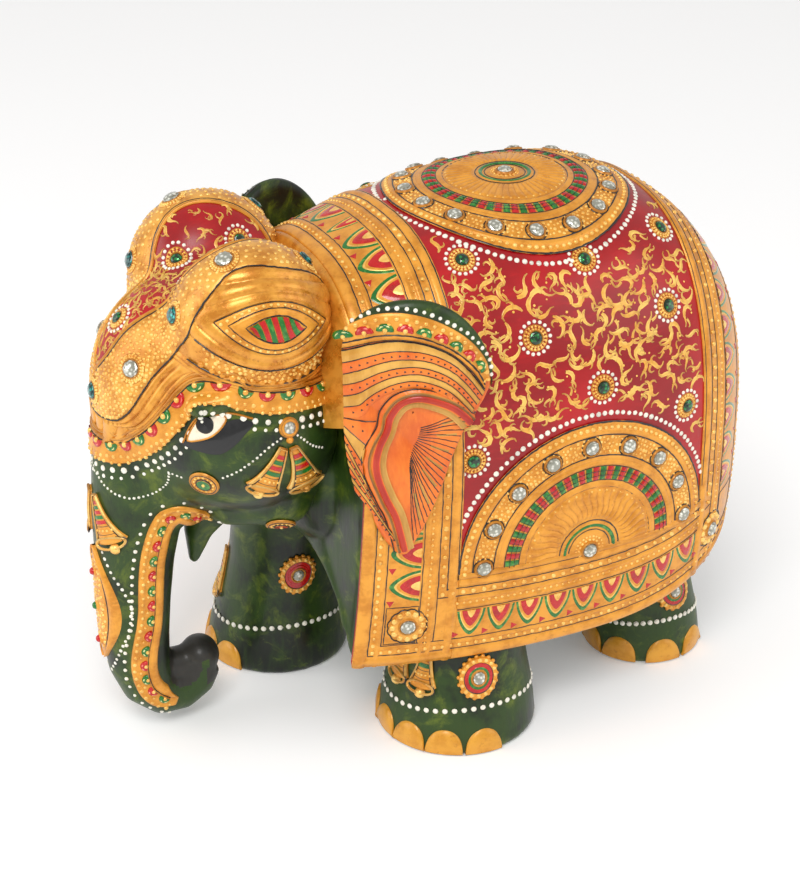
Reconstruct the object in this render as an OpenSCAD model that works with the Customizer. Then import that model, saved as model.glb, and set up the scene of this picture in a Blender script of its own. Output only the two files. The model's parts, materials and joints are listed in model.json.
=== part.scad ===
// Carved and painted wooden elephant, walking, with a saddle cloth, headdress and set stones.
// The head faces -Y, +X is the elephant's left side, +Z is up.
// The origin is on the ground, under the middle of the bounding box.

/* [Body] */
// Half of the width across the saddle cloth
body_half_w = 73.2; // [60:0.5:90]
// Height of the crest of the back above the ground
body_top = 209.2; // [190:0.1:230]
// Height at which the body is widest
waist_z = 105; // [95:1:115]
// Y position of the widest section
crown_y = 40; // [30:1:50]
// Y position of the hindmost point of the rump
rump_y = 132; // [128:1:145]
// Height of the hollow of the belly above the hem
belly_rise = 34; // [26:0.5:40]

/* [Saddle cloth] */
// Thickness of the carved saddle cloth layer
cloth_t = 3; // [2:0.25:5]
// Thickness of the raised paste borders and medallions
relief_t = 1; // [0.6:0.1:1.6]
// Y position of the front edge of the cloth, at the hem
cloth_front_y = -55; // [-60:1:-50]
// Y position of the rear edge of the cloth
cloth_rear_y = 127; // [120:0.5:128]
// How far the front edge leans back at the crest
cloth_lean = 9; // [4:0.5:12]
// Height of the lowest part of the hem
hem_z = 41; // [38:0.5:48]
// Width of the front border
front_border_w = 38; // [30:1:44]
// Width of the rear border, along Y
rear_border_w = 35; // [26:1:40]
// Width of the hem border
hem_border_w = 38; // [30:1:40]

/* [Medallions] */
// Radius of the round medallion on the crest
top_medallion_r = 47.5; // [36:1:50]
// Radius of the half-round medallion on each flank
side_medallion_r = 54; // [44:1:58]
// Number of stones round the crest medallion
top_stone_count = 16; // [10:1:20]
// Number of stones round the flank medallion
side_stone_count = 9; // [7:1:11]

/* [Head] */
// Turn of the head about the neck, to the elephant's right
head_turn = -4.5; // [-8:0.5:8]
// Size of the head and trunk, as a factor
head_scale = 1; // [0.92:0.01:1.04]
// Radius of the trunk halfway down
trunk_r = 14.2; // [12:0.2:16]
// Thickness of the ear where it stands free
ear_t = 5; // [4:0.25:6]
// Clearance between the ear and the saddle cloth
ear_gap = 0.5; // [0.3:0.1:1.5]

/* [Legs] */
// Radius of a front foot on the ground
front_foot_r = 32; // [27:0.5:33]
// Radius of a rear foot on the ground
rear_foot_r = 24.5; // [21:0.5:28]
// Length of the hanging part of the tail
tail_len = 72; // [50:1:90]

/* [Stones] */
// Radius of a clear stone
clear_r = 3; // [2:0.1:3.5]
// Radius of a green stone
green_r = 2.6; // [2:0.1:3.4]

/* [Hidden] */
section_n = 2.6;
half_h = body_top - waist_z;
under_h = 130;
rear_len = rump_y - crown_y;
front_len_w = 158;
front_len_h = 170;
neck = [0, -35, 0];
skull = [0, -82, 148];
small_clear_r = clear_r * 0.9;
stone_sink = 0.3;
overlap = 0.2;

// ---- the shape of the body: superellipse sections along Y ----

function clamp(v, lo, hi) = max(lo, min(hi, v));
function mix(a, b, t) = a + (b - a) * t;
function unit(v) = v / norm(v);
function spow(v, e) = sign(v) * pow(abs(v), e);

function ahead(y) = max(0, crown_y - y);
function behind(y) = clamp((y - crown_y) / rear_len, 0, 1);
function rear_scale(y) = pow(1 - pow(behind(y), section_n), 1 / section_n);
function half_w(y) = body_half_w * rear_scale(y) * sqrt(1 - pow(ahead(y) / front_len_w, 2));
function half_up(y) = half_h * rear_scale(y) * sqrt(1 - pow(ahead(y) / front_len_h, 2));
function half_down(y) = under_h * rear_scale(y);

// Height of the hem at y: almost level, rising over the thigh.
function hem_at(y) = hem_z + 2 * pow(clamp((20 - y) / 75, 0, 1), 2) + 17 * pow(max(0, (y - 20) / 95), 3);
function floor_at(y) = max(hem_at(y), waist_z - 0.85 * half_down(y));

// Angle from the crest at which the section reaches the hem.
function hem_angle(y) =
    let (drop = clamp((waist_z - floor_at(y)) / max(half_down(y), 0.01), 0, 0.97))
    90 + asin(pow(drop, section_n / 2));

// A point of the body's skin, at station y and angle a from the crest, lifted by d.
function skin(y, a, d) =
    let (w = max(half_w(y), 0.05), h = max(cos(a) > 0 ? half_up(y) : half_down(y), 0.05))
    let (x = w * spow(sin(a), 2 / section_n), z = h * spow(cos(a), 2 / section_n))
    let (e = 0.5, w2 = max(half_w(y + e), 0.01), w1 = max(half_w(y - e), 0.01))
    let (slope = (w2 - w1) / (2 * e) / w)
    let (gx = spow(x / w, section_n - 1) / w, gz = spow(z / h, section_n - 1) / h)
    [x, y, waist_z + z] + d * unit([gx, -slope, gz]);

// The same, with the station lines leaning back towards the crest near the front.
function lean_at(u) = cloth_lean * clamp((crown_y - u) / 95, 0, 1);
function angle_up(z) = acos(pow(clamp((z - waist_z) / half_h, 0, 1), section_n / 2));
function leaned(u, a) = u + lean_at(u) * (skin(u, a, 0)[2] - hem_z) / (body_top - hem_z);
function skin_lean(u, a, d) = skin(leaned(u, a), a, d);

// A point of the skin straight above (x, y), and one straight out from (y, z).
function on_top(x, y, d) =
    let (w = half_w(y), a = asin(pow(clamp(abs(x) / w, 0, 1), section_n / 2)))
    skin(y, sign(x) * a, d);
function on_side(side, y, z, d) =
    let (h = z > waist_z ? half_up(y) : half_down(y))
    let (c = pow(clamp(abs(z - waist_z) / h, 0, 1), section_n / 2))
    skin(y, side * (z > waist_z ? acos(c) : 90 + asin(c)), d);

// ---- closed solids from grids of points ----

// Faces of a slab: an outer sheet of rows x cols, then an inner sheet of the same size.
function slab_faces(rows, cols) =
    let (o = rows * cols, last = (rows - 1) * cols, c = cols - 1)
    concat(
        [for (i = [0:rows - 2], j = [0:cols - 2])
            [i * cols + j, (i + 1) * cols + j, (i + 1) * cols + j + 1, i * cols + j + 1]],
        [for (i = [0:rows - 2], j = [0:cols - 2])
            [o + i * cols + j, o + i * cols + j + 1, o + (i + 1) * cols + j + 1, o + (i + 1) * cols + j]],
        [for (j = [0:cols - 2]) [j, j + 1, o + j + 1, o + j]],
        [for (j = [0:cols - 2]) [last + j + 1, last + j, o + last + j, o + last + j + 1]],
        [for (i = [0:rows - 2]) [(i + 1) * cols, i * cols, o + i * cols, o + (i + 1) * cols]],
        [for (i = [0:rows - 2])
            [i * cols + c, (i + 1) * cols + c, o + (i + 1) * cols + c, o + i * cols + c]]);

function triangles(faces) = [for (f = faces, k = [1:len(f) - 2]) [f[0], f[k], f[k + 1]]];
function reversed(list) = [for (k = [len(list) - 1:-1:0]) list[k]];
function flat(rows) = [for (r = rows) for (p = r) p];

// A thin slab between an outer and an inner sheet, each a list of rows of points.
module slab(outer, inner, flip = false) {
    faces = triangles(slab_faces(len(outer), len(outer[0])));
    turned = flip ? [for (f = faces) reversed(f)] : faces;
    polyhedron(concat(flat(outer), flat(inner)), turned, convexity = 8);
}

// A slab that goes all the way round: rows are rings, the first ring is the innermost.
function ring_faces(rows, n) =
    let (o = rows * n, last = (rows - 1) * n)
    concat(
        [for (i = [0:rows - 2], j = [0:n - 1]) let (k = (j + 1) % n)
            [i * n + j, (i + 1) * n + j, (i + 1) * n + k, i * n + k]],
        [for (i = [0:rows - 2], j = [0:n - 1]) let (k = (j + 1) % n)
            [o + i * n + j, o + i * n + k, o + (i + 1) * n + k, o + (i + 1) * n + j]],
        [for (j = [0:n - 1]) let (k = (j + 1) % n) [j, k, o + k, o + j]],
        [for (j = [0:n - 1]) let (k = (j + 1) % n) [last + k, last + j, o + last + j, o + last + k]]);

module ring_slab(outer, inner, flip = false) {
    faces = triangles(ring_faces(len(outer), len(outer[0])));
    turned = flip ? [for (f = faces) reversed(f)] : faces;
    polyhedron(concat(flat(outer), flat(inner)), turned, convexity = 8);
}

// A loft through closed rings with flat ends.
module loft(rings, flip = false) {
    n = len(rings[0]);
    last = (len(rings) - 1) * n;
    sides = [for (i = [0:len(rings) - 2], j = [0:n - 1]) let (k = (j + 1) % n)
        [i * n + j, (i + 1) * n + j, (i + 1) * n + k, i * n + k]];
    ends = [[for (j = [0:n - 1]) j], [for (j = [n - 1:-1:0]) last + j]];
    faces = triangles(concat(sides, ends));
    polyhedron(flat(rings), flip ? [for (f = faces) reversed(f)] : faces, convexity = 8);
}

// A loft through closed rings that are each symmetric about x = 0. The end caps are strips
// between mirrored points, so that they stay level across even where the ring is hollow.
module symmetric_loft(rows) {
    n = len(rows[0]);
    half = n / 2;
    last = (len(rows) - 1) * n;
    sides = [for (i = [0:len(rows) - 2], j = [0:n - 1]) let (k = (j + 1) % n)
        [i * n + j, (i + 1) * n + j, (i + 1) * n + k, i * n + k]];
    front = [for (j = [0:half - 1]) let (a = j, b = j + 1, c = (n - 1 - b + n) % n, d = n - 1 - a)
        if (b <= n - 1 - b || b - 1 < n - 1 - (b - 1)) [a, b, c, d]];
    back = [for (f = front) [for (k = [3:-1:0]) last + f[k]]];
    polyhedron(flat(rows), triangles(concat(sides, front, back)), convexity = 8);
}

// ---- body, legs and cloth ----

cloth_cols = 40;
under_cols = 11;
function rear_rows(to) = [for (t = [10:10:80]) let (y = crown_y + rear_len * sin(t)) if (y < to - 1.5) y];
front_rows = [for (i = [0:8]) mix(cloth_front_y, crown_y, i / 8)];
cloth_rows = concat(front_rows, rear_rows(cloth_rear_y), [cloth_rear_y]);
body_rows = concat(cloth_rows, [for (f = [0.55, 0.85, 0.99]) mix(cloth_rear_y, rump_y, f)]);

function cloth_row(u, d) = [for (j = [0:cloth_cols])
    skin_lean(u, mix(-1, 1, j / cloth_cols) * hem_angle(u), d)];

// One ring of the torso: the part under the cloth, then the hollowed belly back to the start.
function torso_ring(u) =
    let (upper = cloth_row(u, -cloth_t), a = upper[cloth_cols], b = upper[0])
    concat(upper, [for (k = [1:under_cols]) let (t = k / (under_cols + 1))
        mix(a, b, t) + [0, 0, belly_rise * sqrt(sin(180 * t)) * pow(rear_scale(u), 2)]]);

module torso() {
    symmetric_loft([for (u = body_rows) torso_ring(u)]);
}

// Legs: ground centre, foot radius, and where the leg enters the body. Across the body, each centre
// is set in from the widest part of the flank.
legs = [
    [[body_half_w - 30.2, -3], front_foot_r, [body_half_w - 33.2, 6]],
    [[33.2 - body_half_w, -45], front_foot_r * 0.93, [36.2 - body_half_w, -36]],
    [[body_half_w - 48.2, 95], rear_foot_r, [body_half_w - 43.2, 88]],
    [[35.2 - body_half_w, 84], rear_foot_r, [39.2 - body_half_w, 78]]];
leg_h = 86;
// Leg profile: height as a part of leg_h, and radius as a part of the foot radius.
leg_profile = [
    [0, 0.955], [0.02, 1], [0.06, 0.985], [0.14, 0.955], [0.22, 0.91], [0.3, 0.855],
    [0.39, 0.8], [0.5, 0.765], [0.72, 0.785], [1, 0.84]];

function leg_centre(leg, t) = mix(leg[0], leg[2], pow(t, 1.5));
function leg_radius(leg, t) = leg[1] * lookup(t, leg_profile);

module leg(leg) {
    loft([for (p = leg_profile) let (c = leg_centre(leg, p[0]), r = leg_radius(leg, p[0]))
        [for (w = [0:12:348]) [c[0] + r * cos(w), c[1] + r * sin(w), p[0] * leg_h]]]);
    // The shoulder or haunch, which reaches up into the body in two steps.
    for (step = [[0, 0.78, 8, 0.7], [8, 0.7, 20, 0.55]])
        translate(concat(leg[2], leg_h))
            hull() {
                translate([0, 0, step[0]]) sphere(r = leg[1] * step[1], $fn = 20);
                translate([0, 0, step[2]]) sphere(r = leg[1] * step[3], $fn = 20);
            }
}

module body_carving() {
    color("darkolivegreen")
        union() {
            torso();
            for (l = legs)
                leg(l);
            chest();
        }
}

// The breast, which bulges a little in front of the cloth and below the jaw.
module chest() {
    hull()
        for (z = [96, 112])
            translate([0, cloth_front_y + 7, z])
                scale([1, 0.42, 0.6])
                    sphere(r = 34, $fn = 24);
}

module saddle_cloth() {
    color("firebrick")
        slab([for (u = cloth_rows) cloth_row(u, 0)], [for (u = cloth_rows) cloth_row(u, -cloth_t)]);
}

// ---- raised borders and medallions on the cloth ----

function band_row(u, from, to, cols, d) = [for (j = [0:cols]) skin_lean(u, mix(from, to, j / cols), d)];

module band(u0, u1, rows, cols) {
    us = [for (i = [0:rows]) mix(u0, u1, i / rows)];
    slab([for (u = us) band_row(u, -hem_angle(u), hem_angle(u), cols, relief_t)],
        [for (u = us) band_row(u, -hem_angle(u), hem_angle(u), cols, 0)]);
}

front_border_to = cloth_front_y + front_border_w;
rear_border_from = cloth_rear_y - rear_border_w;

module cloth_border_front() {
    color("goldenrod") band(cloth_front_y, front_border_to, 3, 40);
}

module cloth_border_rear() {
    color("goldenrod") band(rear_border_from, cloth_rear_y, 6, 40);
}

// Angle from the crest at which the skin is height z at station u.
function angle_at(u, z) = 90 + asin(pow(clamp((waist_z - z) / half_down(u), 0, 0.97), section_n / 2));

// The hem band of the left flank, between the front and the rear border.
module hem_band() {
    us = [for (i = [0:12]) mix(front_border_to, rear_border_from, i / 12)];
    function row(u, d) = [for (j = [0:4])
        skin_lean(u, mix(angle_at(u, hem_at(u) + hem_border_w), hem_angle(u), j / 4), d)];
    slab([for (u = us) row(u, relief_t)], [for (u = us) row(u, 0)]);
}

module cloth_border_hem_left() {
    color("goldenrod") hem_band();
}

module cloth_border_hem_right() {
    color("goldenrod") mirror([1, 0, 0]) hem_band();
}

top_centre = [0, crown_y - 2];
function crest_point(r, a, d) = on_top(top_centre[0] + r * cos(a), top_centre[1] + r * sin(a), d);

module top_medallion() {
    rings = [for (i = [0:5]) mix(0.02, 1, i / 5) * top_medallion_r];
    function ring(r, d) = [for (a = [0:10:350]) crest_point(r, a, d)];
    color("goldenrod")
        ring_slab([for (r = rings) ring(r, relief_t)], [for (r = rings) ring(r, 0)], true);
}

side_centre = [38, hem_z + hem_border_w + 1.5];
function flank_point(r, a, d) = on_side(1, side_centre[0] + r * cos(a), side_centre[1] + r * sin(a), d);

module flank_medallion() {
    rings = [for (i = [0:5]) mix(0.02, 1, i / 5) * side_medallion_r];
    function row(r, d) = [for (a = [0:9:180]) flank_point(r, a, d)];
    slab([for (r = rings) row(r, relief_t)], [for (r = rings) row(r, 0)], true);
}

module side_medallion_left() {
    color("goldenrod") flank_medallion();
}

module side_medallion_right() {
    color("goldenrod") mirror([1, 0, 0]) flank_medallion();
}

// ---- head and trunk ----

// The skull is a blend of rounded lobes, given as [centre, radii]; the x of a centre is mirrored.
lobes = [
    [[0, -80, 144], [41, 42, 48]],
    [[27, -77, 180.5], [23, 28, 28.5]],
    [[23, -77, 138], [27, 34, 32]],
    [[0, -102, 148], [28, 26, 34]],
    [[0, -107, 118], [22, 22, 32]],
    [[0, -66, 118], [34, 30, 32]]];
blend = 9;

function lobe_term(p, c, r) =
    let (q = p - c)
    exp(-blend * (norm([q[0] / r[0], q[1] / r[1], q[2] / r[2]]) - 1));
function lobe_sum(p) = let (m = [abs(p[0]), p[1], p[2]])
    [for (l = lobes) lobe_term(m, l[0], l[1])] * [for (l = lobes) 1];
// Distance from the middle of the skull to its surface along a direction.
function reach(dir, lo = 20, hi = 80, steps = 12) =
    let (mid = (lo + hi) / 2)
    steps == 0 ? mid
    : lobe_sum(skull + mid * dir) > 1 ? reach(dir, mid, hi, steps - 1) : reach(dir, lo, mid, steps - 1);
// Direction at angle a round the skull (0 up, 90 ahead) and b out to the left side.
function aim(a, b) = [sin(b), -cos(b) * sin(a), cos(b) * cos(a)];
function head_point(a, b, d) = let (v = aim(a, b)) skull + (reach(v) + d) * v;

// Trunk centreline and radius, from the root of the trunk to its curled tip: [y, z, r].
trunk_path = [
    [-100, 152, 24], [-107, 134, 22.5], [-113, 114, 20], [-116.5, 94, 17.4], [-118.3, 76, 15.4],
    [-119.3, 58, trunk_r], [-119.6, 42, trunk_r - 0.9], [-118.8, 29, trunk_r - 1.8],
    [-115.5, 19, trunk_r - 2.8], [-109.5, 13.3, trunk_r - 3.6], [-102.5, 13, trunk_r - 4.6],
    [-96.8, 16.6, trunk_r - 5], [-94, 22.5, trunk_r - 5.4]];

function trunk_tilt(k) =
    let (a = trunk_path[max(0, k - 1)], b = trunk_path[min(len(trunk_path) - 1, k + 1)])
    atan2(b[0] - a[0], a[1] - b[1]);
// A point on the trunk: k along the path, angle w round it (0 left side, 90 inner side), lifted by d.
function trunk_point(k, w, d) =
    let (i = floor(k), f = k - i, j = min(i + 1, len(trunk_path) - 1))
    let (c = mix(trunk_path[i], trunk_path[j], f), t = mix(trunk_tilt(i), trunk_tilt(j), f))
    let (side = (c[2] + d) * cos(w), inner = (c[2] + d) * sin(w))
    [side, c[0] + inner * cos(t), c[1] + inner * sin(t)];

module trunk() {
    loft([for (k = [0:len(trunk_path) - 1]) [for (w = [0:11.25:359]) trunk_point(k, w, 0)]], true);
}

// The curled tip ends in two soft lobes, one before the other.
module trunk_tip() {
    for (lobe = [[-94, 26, 8], [-103.5, 24.5, 6.2]])
        hull() {
            translate([0, lobe[0], lobe[1]]) scale([1.15, 1, 1]) sphere(r = lobe[2], $fn = 24);
            translate([0, -98.5, 16]) sphere(r = 6, $fn = 20);
        }
}

// The pointed lower lip that hangs between the trunk and the legs.
module lower_lip() {
    hull() {
        translate([0, -84, 98]) scale([1.3, 1, 1]) sphere(r = 10, $fn = 24);
        translate([0, -92, 84]) scale([1.1, 1, 1]) sphere(r = 6, $fn = 20);
    }
    hull() {
        translate([0, -92, 84]) scale([1.1, 1, 1]) sphere(r = 6, $fn = 20);
        translate([0, -94.5, 70]) sphere(r = 2.2, $fn = 16);
    }
}

// Low ridges over the eyes, and the sides of the jaw.
module brow_and_jaw() {
    for (side = [-1, 1]) {
        hull() {
            translate([side * 41, -103, 156]) sphere(r = 3.4, $fn = 16);
            translate([side * 44.5, -92, 158.5]) sphere(r = 3, $fn = 16);
        }
        hull() {
            translate([side * 17, -84, 104]) sphere(r = 11, $fn = 20);
            translate([side * 26, -66, 106]) sphere(r = 12, $fn = 20);
        }
    }
}

head_cols = 48;
head_rows = 24;

module skull_shape() {
    lats = [for (i = [0:head_rows]) mix(-88.5, 88.5, i / head_rows)];
    rings = [for (b = lats) [for (j = [0:head_cols - 1]) head_point(j * 360 / head_cols, b, 0)]];
    n = head_cols;
    last = head_rows * n;
    sides = [for (i = [0:head_rows - 1], j = [0:n - 1]) let (k = (j + 1) % n)
        [i * n + j, (i + 1) * n + j, (i + 1) * n + k, i * n + k]];
    ends = [[for (j = [0:n - 1]) j], [for (j = [n - 1:-1:0]) last + j]];
    polyhedron(flat(rings), triangles(concat(sides, ends)), convexity = 6);
}

// Everything ahead of the front face of the torso, where the neck is glued.
module ahead_of_body() {
    lean = lean_at(cloth_front_y) / (body_top - hem_z);
    rotate([90, 0, 90])
        linear_extrude(height = 200, center = true)
            polygon([
                [-200, -10],
                [cloth_front_y + lean * (-10 - hem_z), -10],
                [cloth_front_y + lean * (260 - hem_z), 260],
                [-200, 260]]);
}

module turned() {
    translate(neck)
        rotate([0, 0, head_turn])
            scale(head_scale)
                translate(-neck)
                    children();
}

module head_carving() {
    color("darkgreen")
        intersection() {
            ahead_of_body();
            turned()
                union() {
                    skull_shape();
                    trunk();
                    trunk_tip();
                    lower_lip();
                    brow_and_jaw();
                }
        }
}

// ---- ears ----

// Outline of the left ear as [y, z], clockwise from the top of its front edge.
ear_outline = [
    [-55.5, 181], [-52.5, 188], [-46, 193.5], [-37, 196], [-27, 194.5], [-17.5, 188.5], [-10, 179],
    [-5.5, 168], [-5.5, 160], [-10, 152], [-16, 143], [-20.5, 132], [-24, 121], [-28.5, 110],
    [-33.5, 100], [-38.5, 94], [-44, 99], [-49, 109], [-52.5, 121], [-54.5, 134], [-55.5, 150], [-56, 166]];
ear_middle = [-34, 152];
ear_rings = 6;

// The ear swells outwards behind its glued front edge, from the side of the head to past the cloth.
ear_root_x = 51 * head_scale;
ear_tip_x = body_half_w + 1.1;
function cloth_side(y, z) = on_side(1, y, z, 0)[0];
// Beside the cloth the ear stays clear of its raised border.
function ear_wall(y, z) =
    leaned(cloth_front_y, angle_up(z)) < y + 2 ? cloth_side(y, z) + relief_t + ear_gap : 0;
function ear_outer(y, z) =
    let (t = clamp((y + 58) / 54, 0, 1), low = clamp((120 - z) / 60, 0, 1))
    max(mix(ear_root_x, ear_tip_x, sin(90 * pow(t, 0.8))) - 3.5 * low, ear_wall(y, z) + ear_t / 2);
function ear_inner(y, z) = max(ear_outer(y, z) - ear_t, ear_wall(y, z));

module ear() {
    rings = [for (f = [1:ear_rings]) [for (p = ear_outline) mix(ear_middle, p, f / ear_rings)]];
    outer = concat([for (ring = rings) [for (p = ring) [ear_outer(p[0], p[1]), p[0], p[1]]]]);
    inner = concat([for (ring = rings) [for (p = ring) [ear_inner(p[0], p[1]), p[0], p[1]]]]);
    n = len(ear_outline);
    o = ear_rings * n;
    hub = [ear_outer(ear_middle[0], ear_middle[1]), ear_middle[0], ear_middle[1]];
    hub_in = [ear_inner(ear_middle[0], ear_middle[1]), ear_middle[0], ear_middle[1]];
    sheets = [for (i = [0:ear_rings - 2], j = [0:n - 1]) let (k = (j + 1) % n)
        each [[i * n + j, (i + 1) * n + j, (i + 1) * n + k, i * n + k],
            [o + i * n + j, o + i * n + k, o + (i + 1) * n + k, o + (i + 1) * n + j]]];
    rim = [for (j = [0:n - 1]) let (k = (j + 1) % n, last = (ear_rings - 1) * n)
        [last + k, last + j, o + last + j, o + last + k]];
    hubs = [for (j = [0:n - 1]) let (k = (j + 1) % n) each [[2 * o, j, k], [2 * o + 1, o + k, o + j]]];
    polyhedron(concat(flat(outer), flat(inner), [hub, hub_in]),
        triangles(concat(sheets, rim, hubs)), convexity = 8);
}

module ear_left() {
    color("darkorange") ear();
}

module ear_right() {
    color("darkorange") mirror([1, 0, 0]) ear();
}

// ---- tail ----

tail_root = [0, rump_y - 3.2, 132];
tail_root_r = 4.6;
tail_end_r = 2.6;
tuft_r = 3.6;
tuft_h = 0.28 * tail_len;

// The centreline of the tail, which hangs down close to the rump and ends at the tuft.
function tail_point(t) =
    tail_root + [1.5 * sin(180 * t), 3 * sin(90 * min(1, 3 * t)) - 5 * t * t, (tuft_h - tail_len) * t];

module tail_link(from, from_r, to, to_r) {
    hull() {
        translate(from) sphere(r = from_r, $fn = 20);
        translate(to) sphere(r = to_r, $fn = 20);
    }
}

module tail() {
    tuft_middle = tail_point(1) - [0, 0, tuft_h / 2];
    color("darkolivegreen") {
        // The short glued stub that enters the rump.
        tail_link(tail_root - [0, 5, 0], tail_root_r, tail_root, tail_root_r);
        for (k = [0:4])
            tail_link(tail_point(k / 5), mix(tail_root_r, tail_end_r, k / 5),
                tail_point((k + 1) / 5), mix(tail_root_r, tail_end_r, (k + 1) / 5));
        tail_link(tail_point(1), tail_end_r, tuft_middle, tuft_r);
        tail_link(tuft_middle, tuft_r, tail_point(1) - [0, 0.4, tuft_h], 1.6);
    }
}

// ---- relief on the head ----

// A disc on the skull about the direction (a, b), with radii in degrees along each.
module head_disc(a, b, ra, rb, d, base = 0, rings = 2, n = 24) {
    function spot(f, w, lift) = head_point(a + ra * f * cos(w) / cos(b), b + rb * f * sin(w), lift);
    fs = [for (i = [0:rings]) mix(0.05, 1, i / rings)];
    ws = [for (j = [0:n - 1]) j * 360 / n];
    ring_slab([for (f = fs) [for (w = ws) spot(f, w, base + d)]],
        [for (f = fs) [for (w = ws) spot(f, w, base - overlap)]], true);
}

// The headdress runs from the nape over the crown to the root of the trunk. Half-widths by angle.
headdress_out = [[-42, 22], [-10, 27], [10, 31], [30, 37], [50, 37], [70, 33], [84, 22], [94, 8]];
headdress_in = [[-42, 13], [-15, 17], [8, 21], [30, 16], [52, 10], [67, 7], [78, 2]];
headdress_back = -40;
headdress_front = 94;
field_front = 77;
headdress_rows = 20;
headdress_cols = 8;
field_t = relief_t * 0.6;

module headdress_field() {
    as = [for (i = [0:headdress_rows]) mix(headdress_back, field_front, i / headdress_rows)];
    function row(a, d) = [for (j = [0:headdress_cols])
        head_point(a, mix(-1, 1, j / headdress_cols) * lookup(a, headdress_in), d)];
    color("firebrick")
        turned()
            slab([for (a = as) row(a, field_t)], [for (a = as) row(a, -overlap)], true);
}

module headdress_side() {
    as = [for (i = [0:headdress_rows]) mix(headdress_back, headdress_front, i / headdress_rows)];
    // Ahead of the field the two bands nearly meet on the middle of the face.
    function from(a) = a <= field_front ? lookup(a, headdress_in) : 0.2;
    function row(a, d) = [for (j = [0:4]) head_point(a, mix(from(a), lookup(a, headdress_out), j / 4), d)];
    slab([for (a = as) row(a, relief_t)], [for (a = as) row(a, -overlap)], true);
}

module headdress_bands() {
    color("goldenrod")
        turned() {
            headdress_side();
            mirror([1, 0, 0]) headdress_side();
        }
}

// A strip along a path of directions from the middle of the skull. The path points only need to lie
// near the surface: each is moved onto it.
function toward(v, d) = let (u = unit(v)) skull + (reach(u) + d) * u;
module head_strip(path, half_width, d) {
    dirs = [for (p = path) unit(p - skull)];
    last = len(dirs) - 1;
    across = [for (k = [0:last]) unit(cross(dirs[k], dirs[min(k + 1, last)] - dirs[max(k - 1, 0)]))];
    function row(k, lift) = [for (w = [-1, 0, 1])
        toward(dirs[k] + across[k] * (w * half_width / norm(path[k] - skull)), lift)];
    slab([for (k = [0:last]) row(k, d)], [for (k = [0:last]) row(k, -overlap)], true);
}

// The scalloped band over the brow, from the left ear to the middle of the face.
brow_half_w = 4;
brow_path = [
    [36, -51, 153], [44, -62, 155], [47, -76, 157], [44.5, -88, 160], [39, -98.5, 162], [35.5, -104, 157.5],
    [33.5, -109, 151], [28, -115.5, 141], [16, -123, 131], [5, -129.5, 128.5], [0, -130, 128.2]];
function flipped(p) = [-p[0], p[1], p[2]];
module brow_band() {
    other_side = [for (k = [len(brow_path) - 2:-1:0]) flipped(brow_path[k])];
    color("goldenrod") turned() head_strip(concat(brow_path, other_side), brow_half_w, relief_t);
}

// The panel on the temple, in two steps: radii in degrees, and lift as a part of the relief.
temple_centre = [-9, 54];
temple_steps = [[25, 16, 1.6], [17, 10.5, 2.4]];
module temple_panel() {
    for (step = temple_steps)
        head_disc(temple_centre[0], temple_centre[1], step[0], step[1], step[2] * relief_t);
}

module temple_panel_left() {
    color("goldenrod") turned() temple_panel();
}

module temple_panel_right() {
    color("goldenrod") turned() mirror([1, 0, 0]) temple_panel();
}

// Two flat bells on the cheek, each given as [apex, front of the mouth, rear of the mouth].
bells = [
    [[50, -74, 140], [47, -84.5, 124.5], [48, -75.5, 121]],
    [[50, -72, 140], [46, -69.5, 120.5], [43, -59.5, 124.5]]];
module bell(b) {
    rows = [for (t = [0.12, 0.4, 0.7, 0.9, 1]) let (swell = t == 1 ? 1.1 : 1)
        [for (s = [0:0.25:1]) let (m = mix(b[1], b[2], 0.5 + (s - 0.5) * swell)) mix(b[0], m, t) - skull]];
    slab([for (r = rows) [for (v = r) toward(v, relief_t)]],
        [for (r = rows) [for (v = r) toward(v, -overlap)]], true);
}
module cheek_bells_left() {
    color("goldenrod") turned() for (b = bells) bell(b);
}
module cheek_bells_right() {
    color("goldenrod") turned() mirror([1, 0, 0]) for (b = bells) bell(b);
}

// Round medals under the cheek and under the jaw, as directions; the radius is in degrees.
medals = [[140, 53], [-165, 30]];
medal_r = 4.6;
module cheek_medals() {
    color("goldenrod")
        turned()
            for (side = [0, 1])
                mirror([side, 0, 0])
                    for (m = medals)
                        head_disc(m[0], m[1], medal_r, medal_r, relief_t, rings = 1);
}

// ---- relief on the trunk ----

// A patch on the trunk over the spans [from, to] along it and round it.
module trunk_patch(along, round, rows, cols, d) {
    ks = [for (i = [0:rows]) mix(along[0], along[1], i / rows)];
    ws = [for (j = [0:cols]) mix(round[0], round[1], j / cols)];
    slab([for (k = ks) [for (w = ws) trunk_point(k, w, d)]],
        [for (k = ks) [for (w = ws) trunk_point(k, w, -overlap)]], true);
}

trunk_band_along = [2.4, 9.4];
trunk_band_round = [-14, 34];
plaque_along = [4, 6.4];
plaque_round = [-125, -55];

module trunk_band() {
    trunk_patch(trunk_band_along, trunk_band_round, 18, 3, relief_t);
}
module trunk_band_left() {
    color("goldenrod") turned() trunk_band();
}
module trunk_band_right() {
    color("goldenrod") turned() mirror([1, 0, 0]) trunk_band();
}
module trunk_plaque() {
    color("goldenrod") turned() trunk_patch(plaque_along, plaque_round, 8, 6, relief_t);
}

// ---- relief on the legs ----

// A point on a leg at height z, in the direction w (0 towards +X, -90 ahead), lifted by d.
function leg_point(leg, z, w, d) =
    let (t = z / leg_h, c = leg_centre(leg, t), r = leg_radius(leg, t) + d)
    [c[0] + r * cos(w), c[1] + r * sin(w), z];

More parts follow.
